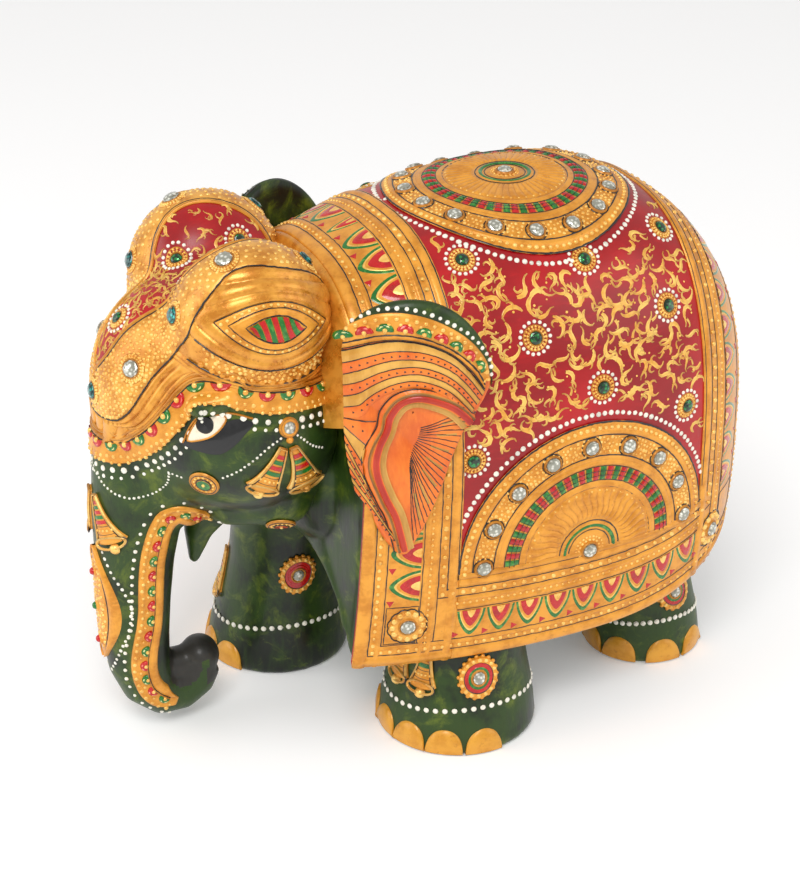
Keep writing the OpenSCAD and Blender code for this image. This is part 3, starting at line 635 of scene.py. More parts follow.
def make_paints():
    wood_green("green_wood", rgb(10, 20, 6), rgb(40, 64, 12), rgb(92, 108, 20), 0.16)
    wood_green("tip_grey", rgb(26, 25, 23), rgb(44, 42, 37), rgb(60, 58, 50), 0.2, 0.5)
    gold_paint("gold_relief", rgb(204, 130, 30), rgb(232, 160, 54))
    gold_paint("gold_stipple", rgb(196, 124, 34), rgb(236, 172, 72), 0.35, 1.2)
    gold_paint("gold_bead", rgb(228, 164, 66), rgb(250, 208, 116), 0.35, 0.0, 0.3)
    gold_paint("gold_stroke", rgb(238, 172, 62), rgb(252, 208, 104), 0.1)
    gold_paint("gold_ridge", rgb(196, 122, 28), rgb(228, 160, 58), 0.4, 0.0, 0.3)
    gold_paint("toenail", rgb(205, 138, 30), rgb(222, 158, 48), 0.1)
    enamel("red_enamel", rgb(188, 6, 6), rgb(220, 44, 32), 0.35)
    enamel("green_enamel", rgb(14, 108, 30), rgb(120, 190, 80), 0.4)
    # The pale and the rose paints are painted highlights on the dabs.
    enamel("pale_highlight", rgb(222, 226, 150), rgb(248, 244, 216))
    enamel("rose_highlight", rgb(232, 104, 92), rgb(250, 196, 180), 0.6)
    enamel("white_dot", rgb(238, 234, 218), rgb(250, 250, 246), 0.4, 0.3)
    enamel("line_black", rgb(22, 16, 12), rgb(48, 36, 26), 0.3, 0.4)
    enamel("eye_white", rgb(236, 222, 196), rgb(248, 240, 224), 0.4)
    enamel("eye_black", rgb(3, 3, 4), rgb(12, 12, 14), 0.3, 0.35)
    red_lacquer()
    ear_paint("ear_orange", rgb(218, 96, 16), rgb(240, 128, 36))
    ear_paint("ear_gold", rgb(196, 138, 46), rgb(226, 172, 78))
    ear_paint("ear_red", rgb(196, 24, 16), rgb(226, 60, 30))
    cut_stone("clear_stone", rgb(150, 150, 136), rgb(236, 236, 224))
    cut_stone("green_stone", rgb(2, 40, 16), rgb(20, 140, 60))
    cut_stone("teal_stone", rgb(4, 66, 66), rgb(30, 160, 150))


make_paints()


# ---- decorations that any surface can carry ----

ROUND = np.linspace(0, 2 * math.pi, 25)[:-1]
RED_GREEN = ("red_enamel", "green_enamel")


def polar(radius, angles=ROUND):
    return np.stack([radius * np.cos(angles), radius * np.sin(angles)], -1)


def circle_ridge(piece, spot, radius, half, height, paint, base=0.0, count=36, wave=0.0, lobes=0):
    w = np.linspace(0, 2 * math.pi, count + 1)[:-1]
    xy = polar(radius * (1 + wave * np.abs(np.sin(lobes * w / 2))), w)
    piece.ridge(*stand(spot, xy, base), half, height, paint, closed=True)


def dot_ring(piece, spot, radius, dot, paint, count, base=0.0, height=None, start=0.0):
    xy = polar(radius, np.arange(count) * 2 * math.pi / count + start)
    piece.dots(*stand(spot, xy, base), dot, height or dot * 0.8, paint)


def disc(piece, spot, radii, lifts, paints, count=36):
    """Nested rings: a list of radii with a lift each, and a paint for each step between them."""
    rows = np.stack([spot(polar(r, np.linspace(0, 2 * math.pi, count + 1)[:-1]), np.full(count, h))
                     for r, h in zip(radii, lifts)])
    for k, paint in enumerate(paints):
        piece.grid(rows[k:k + 2], paint, wrap=True, out=way_up(spot))


def stone(piece, spot, r, paint, base=0.0, turn=0.2):
    """A faceted stone: eight crown facets round a flat table."""
    sides = 8
    i = np.arange(sides)
    j = (i + 1) % sides
    w = i * 2 * math.pi / sides + turn
    levels = ((1, 0), (0.98, 0.24), (0.82, 0.46), (0.5, 0.6))
    rows = [spot(polar(r * q, w + (0.39 if k % 2 else 0)), np.full(sides, base + r * h))
            for k, (q, h) in enumerate(levels)]
    points = np.vstack(rows + [spot(np.zeros((1, 2)), np.array([base + r * 0.62]))])
    tris = []
    for k in range(3):
        low, high = k * sides, (k + 1) * sides
        tris.append(np.stack([low + i, low + j, high + i], 1))
        tris.append(np.stack([low + j, high + j, high + i], 1))
    tris.append(np.stack([3 * sides + i, 3 * sides + j, np.full(sides, 4 * sides)], 1))
    # Facets stay sharp: every facet has its own corners.
    corners = points[np.vstack(tris)].reshape(-1, 3)
    piece.add(corners, np.arange(len(corners)).reshape(-1, 3), paint)


def set_stone(gold, stones, spot, r, paint, base, white=0, width=1.0):
    """A stone in a toothed gold collar, with a ring of white dots if asked."""
    circle_ridge(gold, spot, r * 1.12, 0.45, 0.9, "gold_relief", base)
    teeth = max(12, int(2 * math.pi * r * 1.5 / 1.25))
    xy = polar(1.0, np.arange(teeth) * 2 * math.pi / teeth)
    for share, tall in ((1.3, 0.8), (1.3 + 0.4 * width, 0.55)):
        gold.dots(*stand(spot, xy * (r * share), base), 0.62, tall, "gold_bead", 6)
    circle_ridge(gold, spot, r * (1.34 + 0.55 * width), 0.35, 0.35, "gold_relief", base)
    stone(stones, spot, r, paint, base + 0.25)
    if white:
        dot_ring(gold, spot, r * 2.42, 0.78, "white_dot", white, base, 0.5)


def line(piece, surface, path, half, height, paint, base=0.0, closed=False, gap=1.2, wobble=0.0):
    """A painted or raised line through points in the surface's own coordinates."""
    p = spaced(path, gap, closed)
    if wobble:
        p = p + RNG.normal(0, wobble, p.shape)
    places, normals = stand(surface.place, p, base)
    width = half * (1 + (RNG.uniform(-0.3, 0.3, len(p)) if wobble else 0))
    piece.ridge(places, normals, width, height, paint, closed, steps=3 if height < 0.2 else 5)


def bead_row(piece, surface, path, gap, radius, paint, base=0.0, closed=False, jitter=0.06, height=None):
    p = spaced(path, gap, closed)
    p = p + RNG.normal(0, jitter, p.shape)
    size = radius * RNG.uniform(0.85, 1.12, len(p))
    piece.dots(*stand(surface.place, p, base), size, height or radius * 0.85, paint)


# A comma stroke: a centre line in units of its length, with the width along it.
STROKE_SHAPES = [
    ([(-0.5, -0.16), (-0.3, 0.06), (0, 0.14), (0.3, 0.02), (0.46, -0.2), (0.4, -0.36)],
     (0.35, 0.8, 1, 0.7, 0.45, 0.25)),
    ([(-0.5, 0.1), (-0.28, 0.16), (-0.02, 0.02), (0.2, -0.2), (0.42, -0.16), (0.5, 0.04)],
     (0.3, 0.6, 1, 0.8, 0.4, 0.2)),
    ([(-0.5, -0.26), (-0.42, 0.02), (-0.18, 0.16), (0.1, 0.1), (0.34, 0.14), (0.5, 0.3)],
     (0.6, 1, 0.9, 0.5, 0.35, 0.2)),
    ([(-0.34, -0.3), (-0.5, -0.06), (-0.34, 0.16), (-0.02, 0.16), (0.26, 0), (0.5, 0.02)],
     (0.4, 0.9, 1, 0.75, 0.4, 0.2)),
]
TAIL_SHAPES = [
    [(0, 0.02), (0.1, 0.2), (0.28, 0.3), (0.4, 0.24)],
    [(-0.1, 0.05), (-0.16, 0.26), (-0.02, 0.38), (0.1, 0.34)],
    [(0.1, -0.02), (0.24, -0.2), (0.42, -0.28), (0.5, -0.16)],
    [(-0.2, 0), (-0.3, -0.2), (-0.18, -0.34), (-0.04, -0.3)],
]


def brush_strokes(piece, surface, starts, length=(6.8, 9.2)):
    """Small curled gold strokes, one at each start, in random directions."""
    for p in starts:
        turn = RNG.uniform(0, 2 * math.pi)
        spot = surface.at(p, turn)
        size = RNG.uniform(*length)
        flip = RNG.choice([-1, 1])
        shape, widths = STROKE_SHAPES[RNG.integers(len(STROKE_SHAPES))]
        curves = [(np.array(shape), np.array(widths) * 0.62)]
        for k in RNG.choice(len(TAIL_SHAPES), RNG.integers(1, 3), replace=False):
            curves.append((np.array(TAIL_SHAPES[k]), np.array([0.8, 0.7, 0.5, 0.25]) * 0.46))
        for shape_points, width in curves:
            q = smooth_path(shape_points * [size, size * flip], 9)
            w = np.interp(np.linspace(0, 1, 9), np.linspace(0, 1, len(width)), width)
            piece.ridge(*stand(spot, q), w * size / 3.7, 0.36, "gold_stroke", steps=3)


def scattered(keep, low, high, gap, tries):
    """Random points in a box, at least gap apart, where keep(points) is true."""
    low, high = np.asarray(low, float), np.asarray(high, float)
    found = np.empty((0, 2))
    cells = {}
    picks = RNG.uniform(low, high, (tries, 2))
    picks = picks[keep(picks)]
    for p in picks:
        c = (int(p[0] // gap), int(p[1] // gap))
        near = [q for i in (-1, 0, 1) for j in (-1, 0, 1) for q in cells.get((c[0] + i, c[1] + j), ())]
        if all((p[0] - q[0]) ** 2 + (p[1] - q[1]) ** 2 > gap * gap for q in near):
            cells.setdefault(c, []).append(p)
            found = np.vstack([found, p])
    return found


def stipple(piece, surface, keep, low, high, gap=1.5, base=0.0, size=(0.45, 0.85)):
    """Fine raised grains all over a gold ground."""
    p = scattered(keep, low, high, gap, int(14 * (high[0] - low[0]) * (high[1] - low[1]) / (gap * gap)) + 10)
    if not len(p):
        return
    piece.dots(*stand(surface.place, p, base), RNG.uniform(*size, len(p)), 0.42, "gold_bead", 6)


# ---- the wood: body and head, smoothed from their CAD solids ----

def carved(name, paint, voxel=1.3, rounds=8):
    """A copy of a CAD solid with its facets smoothed away. Returns the object and its mesh in mm."""
    copy = frame["nodes"][name].copy()
    copy.data = copy.data.copy()
    copy.name = name
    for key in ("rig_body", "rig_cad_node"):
        if key in copy:
            del copy[key]
    copy.parent = None
    link(copy)
    remesh = copy.modifiers.new("remesh", "REMESH")
    remesh.mode = "VOXEL"
    remesh.voxel_size = voxel * MM
    smooth = copy.modifiers.new("smooth", "SMOOTH")
    smooth.iterations = rounds
    smooth.factor = 0.5
    bpy.context.view_layer.update()
    evaluated = copy.evaluated_get(bpy.context.evaluated_depsgraph_get())
    mesh = bpy.data.meshes.new_from_object(evaluated)
    bpy.data.objects.remove(copy)
    mesh.name = name
    mesh.materials.clear()
    for one in paint:
        mesh.materials.append(PAINTS[one])
    mesh.polygons.foreach_set("use_smooth", np.ones(len(mesh.polygons), bool))
    piece = bpy.data.objects.new(name, mesh)
    link(piece)
    points = np.empty(len(mesh.vertices) * 3, np.float32)
    mesh.vertices.foreach_get("co", points)
    faces = [tuple(f.vertices) for f in mesh.polygons]
    return piece, points.reshape(-1, 3).astype(float) / MM, faces


# ---- the cloth and its borders ----

SIDES = (1, -1)
SIDE_WORDS = {1: "left", -1: "right"}
def spread(d, p):
    return np.broadcast_to(d, p.shape[:-1])


FLANK = {side: Surface(lambda p, d, side=side: on_side(side, p[..., 0], p[..., 1], spread(d, p)))
         for side in SIDES}
CREST = Surface(lambda p, d: on_top(p[..., 0], p[..., 1], spread(d, p)))
HEM = {side: Surface(lambda p, d, side=side: skin_lean(
    p[..., 0], side * angle_at(p[..., 0], hem_at(p[..., 0]) + p[..., 1]), spread(d, p))) for side in SIDES}


def edge_border(u_edge, inward):
    """A border over the back. Its coordinates are the run from the crest, and the way in from the edge."""
    u_mid = u_edge + inward * 18
    table_a = np.linspace(0, 1, 400) * float(hem_angle(u_mid))
    arc = np.r_[0, np.cumsum(np.linalg.norm(np.diff(skin_lean(u_mid, table_a, 0), axis=0), axis=1))]

    def place(p, d):
        u = u_edge + inward * p[..., 1]
        share = np.interp(np.abs(p[..., 0]), arc, table_a / table_a[-1])
        over = np.maximum(np.abs(p[..., 0]) - arc[-1], 0) / arc[-1]
        return skin_lean(u, np.sign(p[..., 0]) * (share + over) * hem_angle(u), np.broadcast_to(d, u.shape))
    return Surface(place), arc[-1]


FRONT, FRONT_RUN = edge_border(CLOTH_FRONT, 1)
REAR, REAR_RUN = edge_border(CLOTH_REAR, -1)


def sheet(piece, surface, u, v, lift, paint, skirt=0.5):
    """A raised sheet over a grid of u and v; its rim turns down into the ground below."""
    u = np.r_[u[0], u, u[-1]]
    v = np.r_[v[0], v, v[-1]]
    p = sheet_points(u, v)
    high = np.array(lift(p))
    high[[0, -1]] = -skirt
    high[:, [0, -1]] = -skirt
    piece.grid(surface.place(p, high), paint)


# Across a border, from the edge of the cloth inwards (mm): where its rims, grooves and rows lie.
RIMS = ((2.4, 2.3, 1.0), (8.4, 0.9, 0.45), (24.9, 0.8, 0.45), (28.2, 0.9, 0.5), (35.6, 1.5, 0.75))
BLACK_LINES = (5.2, 9.8, 23.4, 29.8, 33.4, 37.4)
BEAD_LINES = ((6.8, 0.85, 3.4), (26.5, 0.6, 2.6), (31.6, 1.0, 4.2))
PETAL_TIP = 10.8
PETAL_BASE = 22.6
PETAL_STEP = 12.4
CORNER = 9.8
STOP_OF_PETALS = 29.5


def border_lift(t, scale):
    high = np.full(t.shape, GROUND)
    for centre, half, rise in RIMS:
        high = high + rise * bump(t, centre * scale, half) * 0.8
    return high


def petal(piece, spot, tall, half):
    """A painted petal with its point down local -y: gold band, green edge, gold line, red, gold core."""
    w = np.linspace(-1, 1, 25)
    along = np.maximum(1 - np.abs(w) ** 1.75, 0) ** 0.66
    outline = np.stack([w * half * (1 - 0.04 * along), -tall * along], -1)
    outline[:, 0] *= 1 - 0.12 * along ** 3
    zones = (("gold_relief", 1.1, 1.04, 0.2, 0.5), ("line_black", 1.04, 1.0, 0.5, 0.4),
             ("green_enamel", 1.0, 0.76, 0.4, 0.8),
             ("gold_bead", 0.76, 0.67, 0.75, 0.55), ("red_enamel", 0.67, 0.27, 0.55, 0.9),
             ("gold_bead", 0.27, 0.0, 0.9, 0.8))
    out = way_up(spot)
    for paint, f0, f1, h0, h1 in zones:
        steps = np.linspace(0, 1, 5)
        rows = [spot(outline * mix(f0, f1, s), np.full(25, mix(h0, h1, s) + 0.22 * math.sin(math.pi * s)))
                for s in steps]
        piece.grid(np.stack(rows), paint, out=out)


def triangle_dab(piece, spot, size, paint, base):
    disc(piece, spot, (size, size * 0.6, 0.05), (base, base + 0.3, base + 0.35), (paint, paint), count=3)


def border(piece, surface, run, span, stop, step, scale, cut):
    """One border along run = (from, to): ground with rims, lines, beads and a row of petals.

    cut(across) tells how far short of the two ends the line or row at that distance from the edge stops."""
    s = np.linspace(run[0], run[1], max(8, int((run[1] - run[0]) / 2.5)))
    t = np.linspace(0, span, int(span / 0.4))
    sheet(piece, surface, s, t, lambda p: border_lift(p[..., 1], scale), "gold_relief")

    def along(across):
        first, last = cut(across)
        return [(run[0] + first, across * scale), (run[1] - last, across * scale)]
    for across in BLACK_LINES:
        line(piece, surface, along(across), 0.34, 0.16, "line_black", GROUND + 0.05, gap=2.2, wobble=0.07)
    for across, radius, gap in BEAD_LINES:
        bead_row(piece, surface, along(across), gap, radius, "gold_bead", GROUND)
    tall = (PETAL_BASE - PETAL_TIP) * scale + 1.2
    count = max(2, int(round((run[1] - run[0] - 2 * stop) / step)))
    step = (run[1] - run[0] - 2 * stop) / count
    for k in range(count):
        x = run[0] + stop + (k + 0.5) * step
        foot = (x, PETAL_BASE * scale)
        petal(piece, surface.at(foot, 0.0 if upright(surface, foot) else math.pi), tall, step * 0.53)
        for j in (-0.5, 0.5)[:1 + (k == count - 1)]:
            gap_spot = surface.at((x + j * step, (PETAL_TIP + 0.9) * scale))
            triangle_dab(piece, gap_spot, 1.8, "red_enamel", GROUND)


def upright(surface, p):
    """True if the second local axis at p runs the same way as the second coordinate."""
    spot = surface.at(p)
    p = np.asarray(p, float)
    ahead = surface.place(p + [0, 1.0], 0.0) - surface.place(p, 0.0)
    local = spot(np.array([[0.0, 1.0]]), np.zeros(1))[0] - surface.place(p, 0.0)
    return float(ahead @ local) > 0


def saddle_cloth():
    cloth = Piece("saddle_cloth", "red_lacquer")
    u = np.concatenate([np.linspace(CLOTH_FRONT, CROWN_Y, 60)[:-1],
                        CROWN_Y + (CLOTH_REAR - CROWN_Y) * np.sin(np.linspace(0, math.pi / 2, 70))])
    share = np.linspace(-1, 1, 241)
    rows = []
    for y in u:
        a = share * float(hem_angle(y))
        rows.append(np.concatenate([skin_lean(y, a[:1], -CLOTH_T), skin_lean(y, a, 0),
                                    skin_lean(y, a[-1:], -CLOTH_T)]))
    rows = np.stack(rows)
    rim = [skin_lean(y, np.r_[share[0], share, share[-1]] * float(hem_angle(y)), -CLOTH_T) for y in (u[0],
                                                                                                     u[-1])]
    cloth.grid(np.concatenate([rim[0][None], rows, rim[1][None]]), "red_lacquer")
    cloth.done()


def turns_corner(across):
    """The outer and the inner rows of the borders turn the corner; those beside the petals do not."""
    return across < 12 or across > 29


def cloth_borders():
    def foot(across):
        return across if turns_corner(across) and across != BLACK_LINES[3] else CORNER

    def beyond(across):
        more = FRONT_BAND - across if turns_corner(across) else 0.0
        return -more, -more * REAR_BAND / FRONT_BAND
    for surface, run, span, name, scale, step in (
            (FRONT, FRONT_RUN, FRONT_BAND, "cloth_border_front", 1.0, 1.15),
            (REAR, REAR_RUN, REAR_BAND, "cloth_border_rear", REAR_BAND / FRONT_BAND, 1.0)):
        piece = Piece(name, "gold_relief")
        border(piece, surface, (-run, run), span, STOP_OF_PETALS, PETAL_STEP * step, scale,
               cut=lambda a: (foot(a), foot(a)))
        for side in (-1, 1):
            end = side * run
            # The square at the bottom corner, with its line of black round it.
            box = [(end - side * x, y * scale) for x,
                   y in ((10.6, 10.6), (27.4, 10.6), (27.4, 22.8), (10.6, 22.8))]
            line(piece, surface, box, 0.32, 0.16, "line_black", GROUND + 0.05, closed=True, wobble=0.06)
            # The lip of the hem carries on across the foot of the border.
            line(piece, surface, [(end - side * 2.4, 0), (end - side * 2.4, span)], 2.2, 0.9, "gold_relief",
                 0.5)
            line(piece, surface, [(end - side * 8.4, 8), (end - side * 8.4, span)], 0.9, 0.2, "gold_relief",
                 GROUND)
        piece.done()
    for side, word in SIDE_WORDS.items():
        piece = Piece("cloth_border_hem_" + word, "gold_relief")
        border(piece, HEM[side], (FRONT_TO, REAR_FROM), HEM_BAND, 0.0, PETAL_STEP, 1.0, cut=beyond)
        piece.done()


# ---- medallions: rings by share of the radius ----

BLOCK_IN, BLOCK_OUT = 0.56, 0.66
FLUTE_IN, FLUTE_OUT = 0.255, 0.495


def medallion(piece, surface, centre, radius, full, stones, count, flutes, blocks, ring):
    """A round medallion, or its upper half: flutes, painted blocks, rims and a stippled band with stones."""
    end = 2 * math.pi if full else math.pi
    steps = 288 if full else 160
    theta = np.linspace(0, end, steps + 1)
    share = np.linspace(0.015, 1, int(radius / 0.38))

    def at(q, w):
        return np.stack([centre[0] + q * radius * np.cos(w), centre[1] + q * radius * np.sin(w)], -1)
    q, w = np.meshgrid(share, theta, indexing="ij")
    high = np.full(q.shape, GROUND)
    for middle, half, rise in ((0.215, 0.012, 0.35), (0.52, 0.018, 0.5), (0.545, 0.01, 0.3),
                               (0.69, 0.02, 0.5),
                               (0.725, 0.012, 0.4), (0.925, 0.02, 0.5), (0.13, 0.02, 0.3)):
        high = high + rise * bump(q, middle, half)
    halves = 1 if full else 2
    swirl = 0.12 * np.sin((q - FLUTE_IN) / (FLUTE_OUT - FLUTE_IN) * math.pi * halves) / flutes * 7
    fan = ramp(q, FLUTE_IN, FLUTE_IN + 0.03) * (1 - ramp(q, FLUTE_OUT - 0.03, FLUTE_OUT))
    high = high + fan * 0.75 * np.abs(np.sin((w + swirl) * flutes / 2 * halves)) ** 0.7
    high[-1] = -0.5
    if not full:
        high[:, [0, -1]] = np.minimum(high[:, [0, -1]], 0.2)
    base = GROUND
    out = surface.normal(np.array(centre) + [0, 1.0])
    piece.grid(surface.place(at(q, w), high), "gold_relief", out=out)

    def circle(q, start=0.0, stop=end):
        n = max(8, int(abs(stop - start) * q * radius))
        return at(np.full(n, q), np.linspace(start, stop, n, endpoint=not full))
    for q, width in ((0.165, 0.25), (0.24, 0.3), (0.505, 0.32), (0.555, 0.3), (0.665, 0.3), (0.745, 0.36),
                     (0.9, 0.36), (0.995, 0.4)):
        line(piece, surface, circle(q), width, 0.16, "line_black", base + 0.12, closed=full, wobble=0.05)
    line(piece, surface, circle(0.2), 0.95, 0.45, "green_enamel", base + 0.1, closed=full)
    for q, r, gap in ((0.11, 0.5, 1.6), (0.475, 0.55, 0), (0.955, 0.95, 2.7)):
        step = gap or 2 * math.pi * q * radius / (flutes * halves)
        bead_row(piece, surface, circle(q), step, r, "gold_bead", base, closed=full)
    # Painted blocks, red and green by turns, crossed by thin black lines.
    wide = end / blocks
    for k in range(blocks):
        paint = RED_GREEN[k % 2]
        v = np.linspace((k + 0.1) * wide, (k + 0.9) * wide, 5)
        u = np.linspace(BLOCK_IN, BLOCK_OUT, 6)
        qq, ww = np.meshgrid(u, v, indexing="ij")
        rise = base + 0.75 * np.sqrt(np.clip(1 - ((qq - (BLOCK_IN + BLOCK_OUT) / 2) / 0.051) ** 2, 0, 1)
                                     * np.clip(1 - ((ww - (k + 0.5) * wide) / (0.41 * wide)) ** 2, 0, 1))
        piece.grid(surface.place(at(qq, ww), rise), paint, out=out)
    for q in (0.595, 0.63):
        line(piece, surface, circle(q), 0.16, 0.08, "line_black", base + 0.72, closed=full, wobble=0.03)

    def on_band(p):
        r = np.hypot(p[:, 0] - centre[0], p[:, 1] - centre[1]) / radius
        good = (r > 0.76) & (r < 0.885)
        return good if full else good & (p[:, 1] > centre[1] + 0.8)
    low = (centre[0] - radius, centre[1] - (radius if full else 0))
    stipple(piece, surface, on_band, low, (centre[0] + radius, centre[1] + radius), 1.45, base)
    angles = [(k + 0.5) * end / count for k in range(count)] if full else np.linspace(
        math.radians(4), math.radians(178), count)
    for w in angles:
        p = at(ring, w)
        spot = surface.at(p)
        stone(stones, spot, 2.9, "clear_stone", base + 0.3)
        circle_ridge(piece, spot, 3.35, 0.5, 1.1, "gold_relief", base)
        circle_ridge(piece, spot, 4.1, 0.28, 0.18, "line_black", base + 0.15)
    spot = surface.at(centre)
    stone(stones, spot, 2.9, "clear_stone", base + 0.4)
    circle_ridge(piece, spot, 3.3, 0.5, 1.2, "gold_relief", base)
    dot_ring(piece, spot, 4.4, 0.6, "gold_bead", 16, base)
    if not full:
        foot = [(centre[0] - radius, centre[1] - 0.8), (centre[0] + radius, centre[1] - 0.8)]
        line(piece, surface, foot, 1.7, 0.9, "gold_relief", 0.5)
    # White dots on the red round it.
    ring_path = circle(1.055)
    if full:
        y = ring_path[:, 1]
        ring_path = ring_path[(y > FRONT_TO + 5) & (y < REAR_FROM - 1)]
        groups = [ring_path[ring_path[:, 0] > 0], ring_path[ring_path[:, 0] < 0]]
    else:
        groups = [circle(1.055, 0.03, end - 0.03)]
    for group in groups:
        if len(group) > 3:
            bead_row(piece, surface,
                     group[np.argsort(np.arctan2(group[:, 1] - centre[1], group[:, 0] - centre[0]))],
                     2.75, 1.05, "white_dot", 0.0, height=0.55)


GREEN_SPOTS = ((-1.5, 196), (44.5, 191.5), (84, 193), (76, 170.5), (17.5, 170), (43, 147.5), (82, 130.5),
               (-10.5, 128))


def medallions():
    stones = Piece("clear_stones_top", "clear_stone")
    piece = Piece("top_medallion", "gold_relief")
    medallion(piece, CREST, TOP_CENTRE, TOP_R, True, stones, 16, 48, 60, 0.83)
    piece.done()
    stones.done()
    for side, word in SIDE_WORDS.items():
        stones = Piece("clear_stones_" + word, "clear_stone")
        piece = Piece("side_medallion_" + word, "gold_relief")
        medallion(piece, FLANK[side], FLANK_CENTRE, FLANK_R, False, stones, 9, 24, 34, 0.82)
        # Corner flowers of the cloth, each in its square.
        for y, z in ((FRONT_TO - 18, HEM_Z + 19.5), (REAR_FROM + 9, float(hem_at(100)) + 17)):
            spot = FLANK[side].at((y, z))
            disc(piece, spot, (6.4, 5.9, 0.1), (0.6, 1.4, 1.1), ("gold_relief", "gold_stipple"))
            dot_ring(piece, spot, 5.9, 1.35, "gold_bead", 12, 0.9)
            circle_ridge(piece, spot, 7.5, 0.28, 0.2, "line_black", PASTE, wave=0.06, lobes=12)
            circle_ridge(piece, spot, 3.4, 0.5, 1.0, "gold_relief", PASTE)
            stone(stones, spot, 3.0, "clear_stone", PASTE + 0.3)
        piece.done()
        stones.done()


def red_field():
    """Strokes and green stones on the red of the flanks."""
    for side, word in SIDE_WORDS.items():
        gold = Piece("flank_strokes_" + word, "gold_relief", extra=True)
        stones = Piece("green_stones_" + word, "green_stone")
        surface = FLANK[side]
        spots = np.array(GREEN_SPOTS, float)
        places = surface.place(spots, 0.0)
        # Points over the flank, by station and run from the crest, so that they are evenly dense.
        around = Surface(lambda p, d: skin(p[..., 0], side * np.interp(p[..., 1], RUN_LENGTH, RUN_ANGLE),
                                           spread(d, p)))

        def keep(p):
            v = around.place(p, 0.0)
            flank = np.hypot(v[:, 1] - FLANK_CENTRE[0], v[:, 2] - FLANK_CENTRE[1]) / FLANK_R
            crest = np.hypot(v[:, 0] - TOP_CENTRE[0], v[:, 1] - TOP_CENTRE[1]) / TOP_R
            clear = np.linalg.norm(v[:, None] - places[None], axis=-1).min(1) > 10.4
            lean = CLOTH_LEAN * np.clip((CROWN_Y - FRONT_TO) / 95, 0,
                                        1) * (v[:, 2] - HEM_Z) / (BODY_TOP - HEM_Z)
            return (clear & ((flank > 1.14) | (v[:, 2] < FLANK_CENTRE[1])) & ((crest > 1.15) | (v[:,
                                                                                                  2] < WAIST))
                    & (v[:, 2] > hem_at(v[:, 1]) + HEM_BAND + 4.5) & (v[:, 1] > FRONT_TO + lean + 3.2)
                    & (v[:, 1] < REAR_FROM - 3.5))
        starts = scattered(keep, (FRONT_TO, 0), (REAR_FROM, RUN_LENGTH[-1]), 5.2, 30000)
        brush_strokes(gold, around, starts)
        fill = scattered(keep, (FRONT_TO, 0), (REAR_FROM, RUN_LENGTH[-1]), 5.2, 1400)
        gold.dots(*stand(around.place, fill), RNG.uniform(0.35, 0.6, len(fill)), 0.3, "gold_stroke", 6)
        for p in GREEN_SPOTS:
            set_stone(gold, stones, surface.at(p), 2.5, "green_stone", 0.05, white=17)
        gold.done()
        stones.done()


RUN_ANGLE = np.linspace(0, float(hem_angle(CROWN_Y)), 500)
RUN_LENGTH = np.r_[0, np.cumsum(np.linalg.norm(np.diff(skin(CROWN_Y, RUN_ANGLE, 0), axis=0), axis=1))]


# ---- the head: the same swelling lobes as in the CAD, in the head's own frame ----

LOBES = (((0, -80, 144), (41, 42, 48)), ((27, -77, 180.5), (23, 28, 28.5)), ((23, -77, 138), (27, 34, 32)),
         ((0, -102, 148), (28, 26, 34)), ((0, -107, 118), (22, 22, 32)), ((0, -66, 118), (34, 30, 32)))
# Half-widths round the head, as (angle over the crown, angle to the side) in degrees.
HEADDRESS_OUT = ((-42, 28), (-33, 30), (-15, 33.8), (3, 32.8), (14, 36.5), (26, 40), (31, 41.8), (42, 40.2),
                 (61, 36), (75, 33), (87, 28.3), (95, 20.4), (97.5, 9), (98, 0))
HEADDRESS_IN = ((-42, 13), (-15, 17), (8, 21), (30, 16), (52, 10), (67, 7), (78, 0))
BROW = ((-81, 49), (-71, 64), (-34, 77), (27, 73), (50, 61), (67, 56), (84, 51), (102, 39), (112, 20),
        (113, 0))
LEAF_CENTRE = (-75.0, 186.5)
LEAF_TILT = math.radians(-9)
LEAF_L, LEAF_H = 20.5, 8.9


def turned(points, turn=HEAD_TURN):
    """From the head's own frame to the part's."""
    p = np.asarray(points, float) - NECK
    return np.stack([*spin(p, turn), p[..., 2]], -1) + NECK


def lobe_sum(p):
    total = 0
    for centre, radii in LOBES:
        for side in SIDES if centre[0] else (1,):
            q = (p - np.array([side * centre[0], centre[1], centre[2]])) / radii
            total = total + np.exp(-9 * (np.linalg.norm(q, axis=-1) - 1))
    return total


def reach(start, v, low):
    """How far a ray from start along v runs before it leaves the head."""
    low = np.full(v.shape[:-1], float(low))
    high = np.full(v.shape[:-1], 80.0)
    for _ in range(20):
        middle = (low + high) / 2
        inside = lobe_sum(start + middle[..., None] * v) > 1
        low = np.where(inside, middle, low)
        high = np.where(inside, high, middle)
    return (low + high) / 2


def aim(a, b):
    a, b = np.radians(a), np.radians(b)
    return np.stack([np.sin(b), -np.cos(b) * np.sin(a), np.cos(b) * np.cos(a)], -1)


REACH_STEP = 1.5
REACH_A = np.arange(-186, 187, REACH_STEP)
REACH_B = np.arange(-90, 91, REACH_STEP)
REACH = reach(SKULL, aim(*np.meshgrid(REACH_A, REACH_B, indexing="ij")), 10)


def head_at(a, b):
    i = np.clip((a - REACH_A[0]) / REACH_STEP, 0, len(REACH_A) - 1.001)
    j = np.clip((b - REACH_B[0]) / REACH_STEP, 0, len(REACH_B) - 1.001)
    i0, j0 = i.astype(int), j.astype(int)
    f, g = i - i0, j - j0
    r = ((REACH[i0, j0] * (1 - f) + REACH[i0 + 1, j0] * f) * (1 - g)
         + (REACH[i0, j0 + 1] * (1 - f) + REACH[i0 + 1, j0 + 1] * f) * g)
    return SKULL + r[..., None] * aim(a, b)


